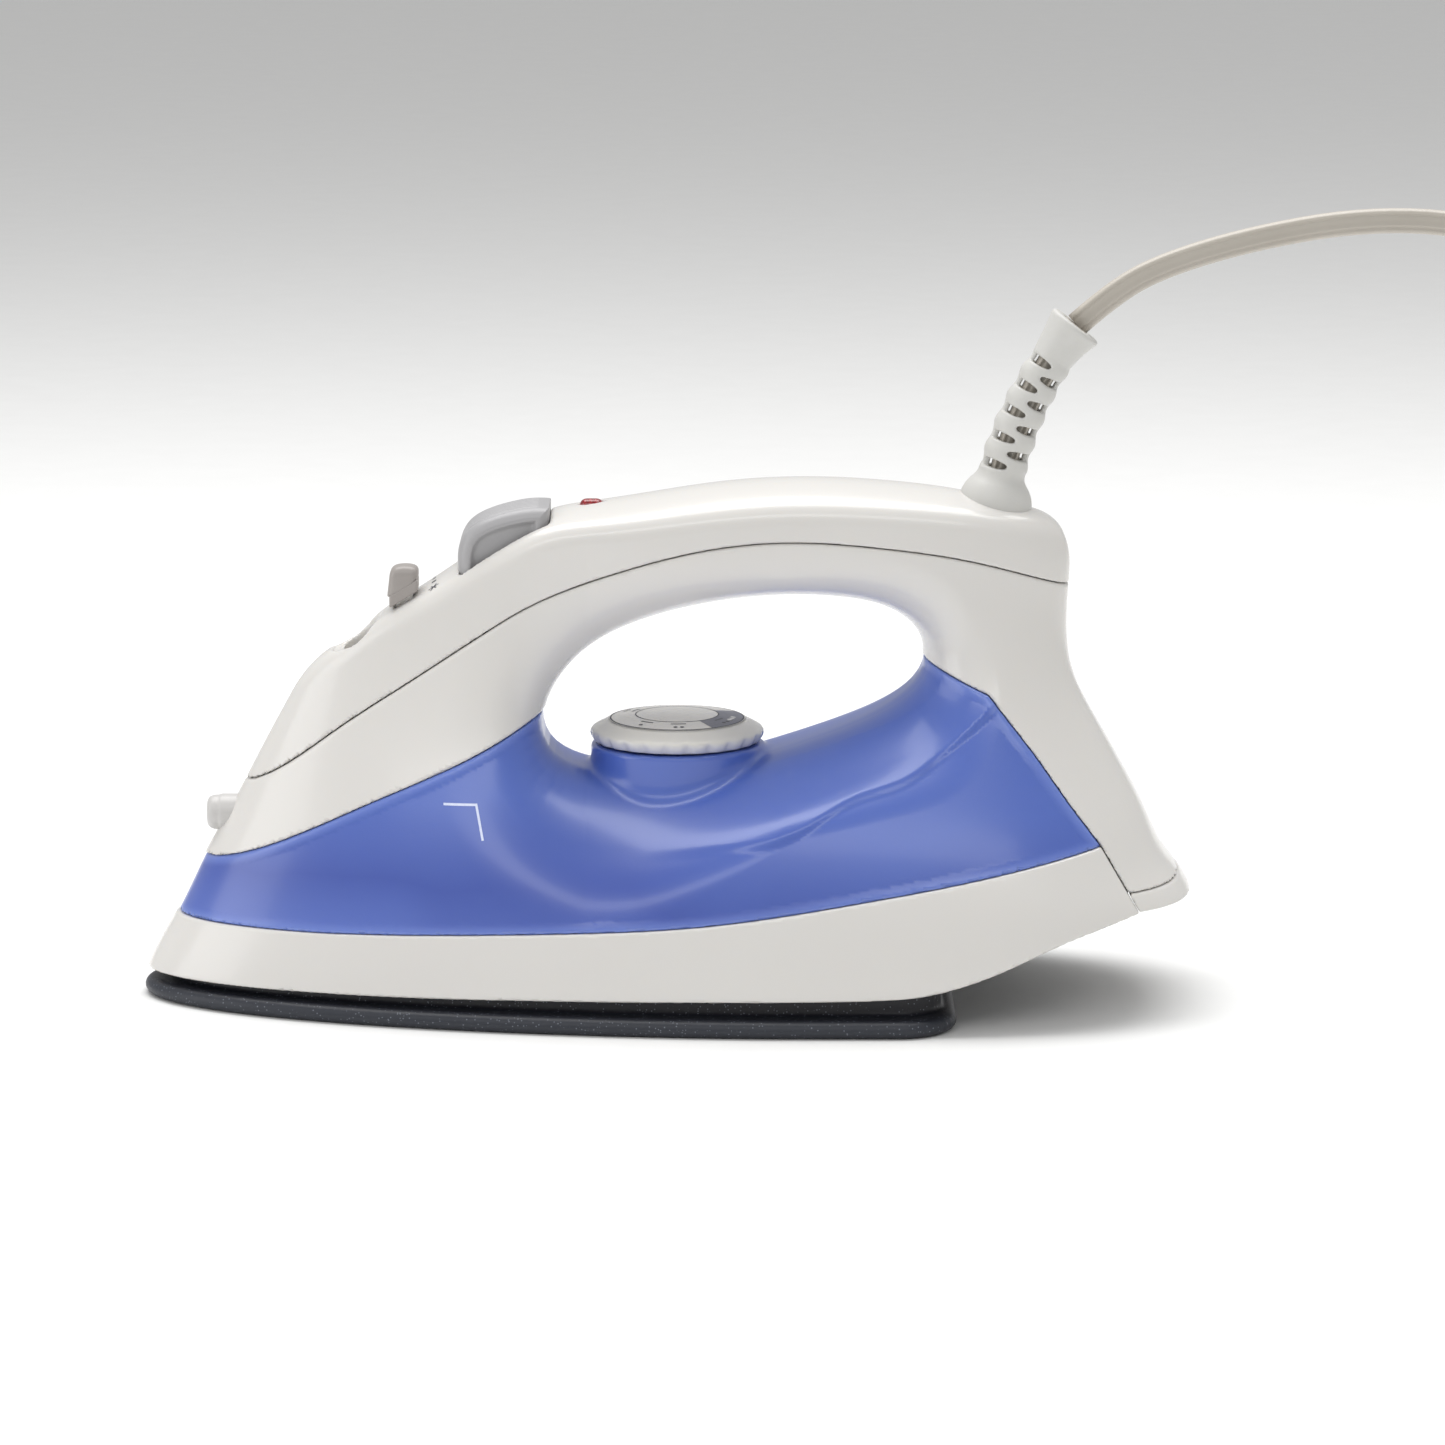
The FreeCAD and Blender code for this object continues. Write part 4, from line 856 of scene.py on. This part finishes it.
paleGrey = greyAbs("satinPaleGrey", "#C9C7C5", "#BFBDBB")
nozzlePiece = fieldPiece("sprayNozzleBody", nozzleField, (-119.5, -5.6, 41.8), (-105.5, 5.6, 53), 0.3,
                         paleGrey)
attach(nozzlePiece, "iron")
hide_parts("spray_nozzle")
print("controls done")


# pilot lamp lens
def lensField(x, y, z):
    half = (lens["long"] - lens["wide"]) / 2
    dx = np.maximum(np.abs(x - lens["x"]) - half, 0)
    side = np.sqrt(dx ** 2 + y ** 2) - lens["wide"] / 2
    return cut(cut(side, z - lens["top"] - 0.15, 2.2), 124 - z, 0.5)


def redLens():
    # ruby acrylic lens: deep red, glassy, slight internal glow
    material, tree, shader = newMaterial("rubyAcrylic")
    place = addNode(tree, "ShaderNodeTexCoord")
    ribs = addNode(tree, "ShaderNodeTexWave", {"Scale": 220.0, "Distortion": 0.4},
                   Vector=place.outputs["Object"])
    tone = addNode(tree, "ShaderNodeMix", {"data_type": "RGBA"}, Factor=ribs.outputs["Fac"])
    tone.inputs[6].default_value = hexColour("#7E1018")
    tone.inputs[7].default_value = hexColour("#9C1E26")
    tree.links.new(tone.outputs[2], shader.inputs["Base Color"])
    shader.inputs["Roughness"].default_value = 0.12
    shader.inputs["Coat Weight"].default_value = 0.6
    shader.inputs["Subsurface Weight"].default_value = 0.2
    shader.inputs["Subsurface Radius"].default_value = (0.002, 0.0004, 0.0004)
    return material


lensPiece = fieldPiece("pilotLens", lensField, (-23, -3, 123), (-15, 3, 130), 0.2, redLens())
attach(lensPiece, "iron")
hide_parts("lamp_lens")

# strain relief
relief = {"neck": 6.15, "tip": 5.35, "mouth": 7.5, "flange": 9.5, "firstSlot": 8.4, "slotPitch": 3.5,
          "slots": 9,
          "slotHalf": 1.05, "ringBulge": 0.35, "sleeveFrom": 38.6, "hole": 3.9}
reliefTurn = math.radians(guard["bend"])
reliefBend = guard["length"] / 2 / math.sin(reliefTurn)
reliefLong = 2 * reliefTurn * reliefBend
reliefMid = (guard["foot"][0] + reliefBend * math.cos(guardStart),
             guard["foot"][2] - reliefBend * math.sin(guardStart))


def alongRelief(x, z):
    # run along the bent centre line, and distance to its outer (left) side
    dx, dz = reliefMid[0] - x, z - reliefMid[1]
    run = (np.arctan2(dz, dx) - guardStart) * reliefBend
    return run, np.sqrt(dx ** 2 + dz ** 2) - reliefBend


def reliefField(x, y, z):
    run, left = alongRelief(x, z)
    around = np.sqrt(left ** 2 + y ** 2)
    share = np.clip(run / relief["sleeveFrom"], 0, 1)
    flare = np.clip((run - relief["sleeveFrom"]) / (reliefLong - relief["sleeveFrom"]), 0, 1)
    radius = relief["neck"] + (relief["tip"] - relief["neck"]) * share
    radius = radius + (relief["mouth"] - relief["tip"]) * (flare * 0.55 + 0.45 * flare ** 2)
    ringed = np.clip((run - 6.5) / 1.5, 0, 1) * np.clip((relief["sleeveFrom"] + 0.5 - run) / 1.5, 0, 1)
    beat = np.cos(math.pi * (run - relief["firstSlot"]) / relief["slotPitch"])
    radius = radius - relief["ringBulge"] * ringed * (beat * left / (around + 0.1) + 0.2)
    tube = cut(around - radius, run - reliefLong, 1.4)
    tube = np.maximum(tube, -3 - run)
    bell = np.sqrt(around ** 2 + (run + 2.4) ** 2) - relief["flange"]
    field = join(tube, np.maximum(bell, -4.5 - run), 1.2)
    pitch = relief["slotPitch"]
    for i in range(relief["slots"]):
        side = 1 if i % 2 == 0 else -1
        taper = 0.45 + 0.55 * np.clip((side * left + 1.0) / 3.0, 0, 1)
        slot = np.abs(run - relief["firstSlot"] - i * pitch) - relief["slotHalf"] * taper
        slot = cut(slot, -side * left - 0.6, 1.0)
        slot = cut(slot, 1.3 - np.abs(y), 0.6)
        field = cut(field, -slot, 0.6)
    return cut(field, -(around - relief["hole"]), 0.5)


def reliefVinyl():
    # flexible white vinyl, softer and more matt than the body, light bloom
    material, tree, shader = newMaterial("reliefVinyl")
    place = addNode(tree, "ShaderNodeTexCoord")
    cloud = addNode(tree, "ShaderNodeTexNoise", {"Scale": 90.0, "Detail": 3.0},
                    Vector=place.outputs["Object"])
    tone = addNode(tree, "ShaderNodeMix", {"data_type": "RGBA"}, Factor=cloud.outputs["Fac"])
    tone.inputs[6].default_value = hexColour("#C6C5C1")
    tone.inputs[7].default_value = hexColour("#D0CFCB")
    grain = addNode(tree, "ShaderNodeTexNoise", {"Scale": 1800.0, "Detail": 2.0},
                    Vector=place.outputs["Object"])
    bump = addNode(tree, "ShaderNodeBump", {"Strength": 0.3, "Distance": 0.00008},
                   Height=grain.outputs["Fac"])
    tree.links.new(tone.outputs[2], shader.inputs["Base Color"])
    tree.links.new(bump.outputs[0], shader.inputs["Normal"])
    shader.inputs["Roughness"].default_value = 0.45
    shader.inputs["IOR"].default_value = 1.5
    shader.inputs["Subsurface Weight"].default_value = 0.1
    shader.inputs["Subsurface Radius"].default_value = (0.002, 0.002, 0.0015)
    return material


reliefPiece = fieldPiece("strainRelief", reliefField, (72, -11, 122), (113, 11, 181), 0.4, reliefVinyl())
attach(reliefPiece, "iron")
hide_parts("cord_guard")

# the flat cord runs on down inside the slotted relief
innerPath = [Vector(tuple(guardArc(share)[0] * mm)) for share in np.linspace(0.02, 1.0, 30)]
innerPath[-1] = cordPath[0].copy()
innerCord = flatCord("cordInsideRelief", innerPath, vinyl, 1.9)
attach(innerCord, "iron")
print("strain relief done")


# dial
def turnedPiece(name, profile, count, material, centre, shape=None):
    # lathe: profile is radius, height; shape may vary both round the turn
    points, faces = [], []
    for i in range(count):
        angle = 2 * math.pi * i / count
        for radius, height in profile:
            r, h = shape(radius, height, angle) if shape else (radius, height)
            points.append(((centre + r * math.cos(angle)) * mm, r * math.sin(angle) * mm, h * mm))
    rows = len(profile)
    for i in range(count):
        k = (i + 1) % count
        for j in range(rows - 1):
            faces.append((i * rows + j, k * rows + j, k * rows + j + 1, i * rows + j + 1))
    return objectFrom(name, points, faces, material)


def domeHeight(radius):
    share = radius / dialSet["face"]
    return dialSet["top"] - (dialSet["top"] - dialSet["edge"]) * share ** 2.1


def dialWave(radius, height, angle):
    # shallow finger scallops along the lower rim
    near = max(0.0, 1 - abs(height - dialSet["bottom"] - 1.2) / 2.6)
    beat = (0.5 - 0.5 * math.cos(dialSet["notches"] * angle)) ** 2
    inward = 0.55 * near * beat * (radius > 20)
    upward = 0.5 * near * beat * (height > dialSet["bottom"] + 0.3)
    return radius - inward, height + upward


rimProfile = [(6.0, 66.6), (16.0, 66.6), (20.6, 66.6), (21.3, 66.75), (21.8, 67.15), (22.2, 67.9),
              (22.38, 68.6),
              (22.3, 69.2), (22.0, 69.65), (21.5, 70.0), (20.9, 70.35), (20.2, 70.7), (19.3, 71.15),
              (18.4, 71.65),
              (17.62, 72.14), (17.55, 71.9)]


def milkyAbs():
    # milky translucent ABS of the dial's rim
    material, tree, shader = newMaterial("milkyDialAbs")
    place = addNode(tree, "ShaderNodeTexCoord")
    parts = addNode(tree, "ShaderNodeSeparateXYZ", Vector=place.outputs["Object"])
    low = addNode(tree, "ShaderNodeMapRange", {"From Min": 0.0675, "From Max": 0.0695},
                  Value=parts.outputs["Z"])
    tone = addNode(tree, "ShaderNodeMix", {"data_type": "RGBA"}, Factor=low.outputs[0])
    tone.inputs[6].default_value = hexColour("#C4C4CC")
    tone.inputs[7].default_value = hexColour("#D6D4CF")
    grain = addNode(tree, "ShaderNodeTexNoise", {"Scale": 700.0, "Detail": 2.0},
                    Vector=place.outputs["Object"])
    bump = addNode(tree, "ShaderNodeBump", {"Strength": 0.12, "Distance": 0.00005},
                   Height=grain.outputs["Fac"])
    tree.links.new(tone.outputs[2], shader.inputs["Base Color"])
    tree.links.new(bump.outputs[0], shader.inputs["Normal"])
    shader.inputs["Roughness"].default_value = 0.25
    shader.inputs["Subsurface Weight"].default_value = 0.3
    shader.inputs["Subsurface Radius"].default_value = (0.002, 0.002, 0.0025)
    shader.inputs["Coat Weight"].default_value = 0.3
    return material


dialRim = turnedPiece("dialRim", rimProfile, 288, milkyAbs(), dialSet["x"], dialWave)
faceProfile = [(r, domeHeight(r)) for r in (17.55, 17.3, 16.5, 15, 13, 11, 9, 7, 5, 3, 1.5, 0.4, 0.01)]
dialFace = turnedPiece("dialFaceDisc", faceProfile, 144, white, dialSet["x"])


def inkMaterial(name, code):
    # pad-printed ink: thin, matt, slightly uneven cover
    material, tree, shader = newMaterial(name)
    place = addNode(tree, "ShaderNodeTexCoord")
    uneven = addNode(tree, "ShaderNodeTexNoise", {"Scale": 1500.0, "Detail": 2.0},
                     Vector=place.outputs["Object"])
    tone = addNode(tree, "ShaderNodeMix", {"data_type": "RGBA"}, Factor=uneven.outputs["Fac"])
    tone.inputs[6].default_value = hexColour(code)
    tone.inputs[7].default_value = tuple(min(1, c * 1.35) for c in hexColour(code))
    tree.links.new(tone.outputs[2], shader.inputs["Base Color"])
    shader.inputs["Roughness"].default_value = 0.5
    return material


inkGrey = inkMaterial("printInkGrey", "#6E6F78")
inkDark = inkMaterial("printInkDark", "#3C3D44")


def polarPatch(points, faces, inner, outer, start, end, steps=24, rings=3):
    # patch on the dial's dome between two radii and two angles in degrees
    base = len(points)
    for i in range(steps + 1):
        angle = math.radians(start + (end - start) * i / steps)
        for j in range(rings + 1):
            r = inner + (outer - inner) * j / rings
            points.append(((dialSet["x"] + r * math.cos(angle)) * mm, r * math.sin(angle) * mm,
                           (domeHeight(r) + 0.04) * mm))
    rows = rings + 1
    for i in range(steps):
        for j in range(rings):
            a = base + i * rows + j
            faces.append((a, a + 1, a + rows + 1, a + rows))


def dotPatch(points, faces, radius, angle, size):
    # round dot on the dome
    turn = math.radians(angle)
    cx, cy = radius * math.cos(turn), radius * math.sin(turn)
    base = len(points)
    for j in range(3):
        for i in range(16):
            a = 2 * math.pi * i / 16
            r = size * (j + 0.02) / 2
            px, py = cx + r * math.cos(a), cy + r * math.sin(a)
            points.append(((dialSet["x"] + px) * mm, py * mm, (domeHeight(math.hypot(px, py)) + 0.05) * mm))
    for j in range(2):
        for i in range(16):
            k = (i + 1) % 16
            faces.append((base + j * 16 + i, base + (j + 1) * 16 + i, base + (j + 1) * 16 + k,
                          base + j * 16 + k))


inkPoints, inkFaces = [], []
polarPatch(inkPoints, inkFaces, 16.95, 17.35, 0, 360, 144, 1)
polarPatch(inkPoints, inkFaces, 10.5, 10.85, 0, 360, 120, 1)
for angle, dots in ((-128, 1), (-88, 2), (-30, 3), (150, 2)):
    for i in range(dots):
        dotPatch(inkPoints, inkFaces, 15.0, angle + (i - (dots - 1) / 2) * 6.5, 0.55)
    polarPatch(inkPoints, inkFaces, 12.2, 12.75, angle - 9, angle + 9, 12, 1)
dialPrint = objectFrom("dialPrint", inkPoints, inkFaces, inkDark)
sectorPoints, sectorFaces = [], []
polarPatch(sectorPoints, sectorFaces, 10.85, 17.0, -58, 28, 48, 4)
dialSector = objectFrom("dialSector", sectorPoints, sectorFaces, inkGrey)
whitePoints, whiteFaces = [], []
for dot in range(3):
    dotPatch(whitePoints, whiteFaces, 14.6, -22 + dot * 7, 0.7)
for p in range(len(whitePoints)):
    x, y, z = whitePoints[p]
    whitePoints[p] = (x, y, z + 0.03 * mm)
dialDots = objectFrom("dialSectorDots", whitePoints, whiteFaces, white)
for piece in (dialRim, dialFace, dialPrint, dialSector, dialDots):
    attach(piece, "dial")
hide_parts("dial")
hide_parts("dial_face")
print("dial done")


# printed marks on the body
def surfaceY(xs, zs):
    # near side of the outer form by halving
    low, high = np.full(len(xs), -56.0), np.full(len(xs), 0.0)
    for turn in range(26):
        middle = (low + high) / 2
        outside = tankBody(xs, middle, zs, bodyField(xs, middle, zs)) > 0
        low, high = np.where(outside, middle, low), np.where(outside, high, middle)
    return low


def surfaceZ(xs, ys):
    low, high = np.full(len(xs), 60.0), np.full(len(xs), 140.0)
    for turn in range(26):
        middle = (low + high) / 2
        outside = bodyField(xs, ys, middle) > 0
        high, low = np.where(outside, middle, high), np.where(outside, low, middle)
    return high


def barPrint(name, bars, material, upright):
    # each bar: start, end, width, laid on the side (x, z) or on the top (x, y)
    points, faces = [], []
    for (ax, az), (bx, bz), wide in bars:
        t = np.linspace(0, 1, 12)
        nx, nz = -(bz - az), bx - ax
        size = math.hypot(nx, nz)
        nx, nz = nx / size * wide / 2, nz / size * wide / 2
        base = len(points)
        for side in (-1, 1):
            xs, zs = ax + (bx - ax) * t + nx * side, az + (bz - az) * t + nz * side
            if upright:
                ys = surfaceY(xs, zs) - 0.05
                points += [(x * mm, y * mm, z * mm) for x, y, z in zip(xs, ys, zs)]
            else:
                tops = surfaceZ(xs, zs) + 0.05
                points += [(x * mm, y * mm, z * mm) for x, y, z in zip(xs, zs, tops)]
        for i in range(11):
            faces.append((base + i, base + i + 1, base + 12 + i + 1, base + 12 + i))
    piece = objectFrom(name, points, faces, material)
    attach(piece, "iron")
    return piece


inkPale = inkMaterial("printInkPale", "#C9D0EE")
levelMark = barPrint("levelMark",
                     [((-56.3, 55.4), (-47.7, 55.4), 0.6), ((-48.0, 55.7), (-46.2, 47.0), 0.6)],
                     inkPale, True)
steamBars = [((-59.9, y), (-59.9 + size, y), size) for y, size in ((3.0, 0.7), (-0.5, 0.9), (-4.0, 1.1))]
steamBars += [((-60.6 + turn, -8.2 + rise), (-58.0 - turn, -8.2 - rise), 0.35) for turn, rise in
              ((0.0, 0.0), (0.6, 1.2), (0.6, -1.2))]
steamMarks = barPrint("steamMarks", steamBars, inkDark, False)
print("prints done")

# heel screws by geometry nodes: one slotted head set out on the screw places
heelScrew = {"slot": 0.7, "spread": 18.0, "x": 123.0}


def screwHead():
    profile = [(0.01, 0.0), (1.6, 0.0), (2.3, -0.12), (2.62, -0.4), (2.7, -0.8), (2.7, -1.3)]
    points, faces = [], []
    for i in range(48):
        angle = 2 * math.pi * i / 48
        for r, h in profile:
            groove = 0.55 if abs(r * math.sin(angle)) < heelScrew["slot"] / 2 and r < 2.4 else 0.0
            points.append((r * math.cos(angle) * mm, r * math.sin(angle) * mm, (h - groove) * mm))
    rows = len(profile)
    for i in range(48):
        k = (i + 1) % 48
        for j in range(rows - 1):
            faces.append((i * rows + j, i * rows + j + 1, k * rows + j + 1, k * rows + j))
    return objectFrom("screwHeadSource", points, faces)


def platedSteel():
    # zinc-plated steel: bright, fine mottling in tone and roughness
    material, tree, shader = newMaterial("zincPlatedSteel")
    place = addNode(tree, "ShaderNodeTexCoord")
    scratch = addNode(tree, "ShaderNodeTexNoise", {"Scale": 1200.0, "Detail": 3.0},
                      Vector=place.outputs["Object"])
    tone = addNode(tree, "ShaderNodeMix", {"data_type": "RGBA"}, Factor=scratch.outputs["Fac"])
    tone.inputs[6].default_value = hexColour("#9FA1A3")
    tone.inputs[7].default_value = hexColour("#C2C4C6")
    rough = addNode(tree, "ShaderNodeMapRange", {"To Min": 0.24, "To Max": 0.42},
                    Value=scratch.outputs["Fac"])
    tree.links.new(tone.outputs[2], shader.inputs["Base Color"])
    tree.links.new(rough.outputs[0], shader.inputs["Roughness"])
    shader.inputs["Metallic"].default_value = 1.0
    return material


steel = platedSteel()


def screwTree():
    tree = bpy.data.node_groups.new("heelScrewRow", "GeometryNodeTree")
    tree.interface.new_socket("Geometry", in_out="INPUT", socket_type="NodeSocketGeometry")
    spread = tree.interface.new_socket("Spread", in_out="INPUT", socket_type="NodeSocketFloat")
    count = tree.interface.new_socket("Count", in_out="INPUT", socket_type="NodeSocketInt")
    tree.interface.new_socket("Geometry", in_out="OUTPUT", socket_type="NodeSocketGeometry")
    source = addNode(tree, "NodeGroupInput")
    half = addNode(tree, "ShaderNodeMath", {"operation": "MULTIPLY", 1: 0.5}, i0=source.outputs["Spread"])
    start = addNode(tree, "ShaderNodeCombineXYZ", {"X": heelScrew["x"] * mm, "Z": heelFoot["low"] * mm})
    down = addNode(tree, "ShaderNodeMath", {"operation": "MULTIPLY", 1: -1.0}, i0=half.outputs[0])
    tree.links.new(down.outputs[0], start.inputs["Y"])
    end = addNode(tree, "ShaderNodeCombineXYZ", {"X": heelScrew["x"] * mm, "Z": heelFoot["low"] * mm},
                  Y=half.outputs[0])
    line = addNode(tree, "GeometryNodeMeshLine", {"mode": "END_POINTS"})
    tree.links.new(source.outputs["Count"], line.inputs["Count"])
    tree.links.new(start.outputs[0], line.inputs["Start Location"])
    tree.links.new(end.outputs[0], line.inputs["Offset"])
    spin = addNode(tree, "FunctionNodeRandomValue", {"data_type": "FLOAT_VECTOR", "Seed": 7})
    spin.inputs[0].default_value = (math.pi, 0, 0)
    spin.inputs[1].default_value = (math.pi, 0, math.pi)
    copies = addNode(tree, "GeometryNodeInstanceOnPoints", Points=line.outputs[0],
                     Instance=source.outputs["Geometry"], Rotation=spin.outputs[0])
    real = addNode(tree, "GeometryNodeRealizeInstances", i0=copies.outputs[0])
    paint = addNode(tree, "GeometryNodeSetMaterial", {"Material": steel}, Geometry=real.outputs[0])
    out = addNode(tree, "NodeGroupOutput")
    tree.links.new(paint.outputs[0], out.inputs[0])
    return tree, spread.identifier, count.identifier


def screwRow():
    source = screwHead()
    tree, spreadKey, countKey = screwTree()
    modifier = source.modifiers.new("heelScrewRow", "NODES")
    modifier.node_group = tree
    modifier[spreadKey] = 2 * heelScrew["spread"] * mm
    modifier[countKey] = 2
    bpy.context.view_layer.update()
    evaluated = source.evaluated_get(bpy.context.evaluated_depsgraph_get())
    mesh = bpy.data.meshes.new_from_object(evaluated)
    source.modifiers.clear()
    bpy.data.objects.remove(source)
    mesh.name = "heelScrewHeads"
    piece = bpy.data.objects.new("heelScrewHeads", mesh)
    bpy.context.scene.collection.objects.link(piece)
    return piece


screwPiece = screwRow()
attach(screwPiece, "iron")
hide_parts("heel_screws")

# finishes of the CAD pieces that stay
finishes = {
    "under_cover": greyAbs("mattBlackPhenolic", "#2E2E30", "#262628"),
    "fill_funnel": white, "plug_body": vinyl, "nozzle_tip": coolGrey,
    "plug_blades": steel, "element_pins": steel, "chamber_screws": steel, "spacer_screws": steel,
    "thermostat_shaft": steel,
}
for node, finish in finishes.items():
    cadObject = bpy.data.objects[node]
    for slotNumber in range(len(cadObject.material_slots)):
        cadObject.material_slots[slotNumber].material = finish

# floor, light
lightSet = [
    # name, place, aim, width, height, power
    ("overheadSoft", (0.0, 0.3, 1.3), (0.0, 0.0, 0.05), 1.5, 0.9, 17.0),
    ("frontStrip", (-0.1, -1.1, 0.95), (0.0, 0.0, 0.08), 1.6, 0.25, 3.4),
    ("leftSoft", (-1.3, -0.4, 0.45), (-0.05, 0.0, 0.07), 0.7, 0.9, 3.4),
]


def studio():
    for name, place, aim, width, height, power in lightSet:
        data = bpy.data.lights.new(name, "AREA")
        data.shape = "RECTANGLE"
        data.size, data.size_y, data.energy = width, height, power
        lamp = bpy.data.objects.new(name, data)
        lamp.location = place
        lamp.rotation_euler = (Vector(aim) - Vector(place)).to_track_quat("-Z", "Y").to_euler()
        bpy.context.scene.collection.objects.link(lamp)
    world = bpy.data.worlds.new("paleRoom")
    world.use_nodes = True
    back = world.node_tree.nodes["Background"]
    back.inputs[0].default_value = hexColour("#FFFFFF")
    back.inputs[1].default_value = 0.5
    bpy.context.scene.view_settings.view_transform = "Standard"
    bpy.context.scene.world = world


studio()


def floorPaper():
    # seamless white paper: matt, nearly even, faint fibre
    material, tree, shader = newMaterial("studioPaper")
    place = addNode(tree, "ShaderNodeTexCoord")
    fibre = addNode(tree, "ShaderNodeTexNoise", {"Scale": 60.0, "Detail": 4.0},
                    Vector=place.outputs["Object"])
    tone = addNode(tree, "ShaderNodeMix", {"data_type": "RGBA"}, Factor=fibre.outputs["Fac"])
    tone.inputs[6].default_value = hexColour("#F4F4F3")
    tone.inputs[7].default_value = hexColour("#F8F8F7")
    tree.links.new(tone.outputs[2], shader.inputs["Base Color"])
    shader.inputs["Roughness"].default_value = 0.9
    return material


floorMesh = bpy.data.meshes.new("studioFloor")
floorMesh.from_pydata([(-6, -6, 0), (6, -6, 0), (6, 6, 0), (-6, 6, 0)], [], [(0, 1, 2, 3)])
floor = bpy.data.objects.new("studioFloor", floorMesh)
bpy.context.scene.collection.objects.link(floor)
floorMesh.materials.append(floorPaper())
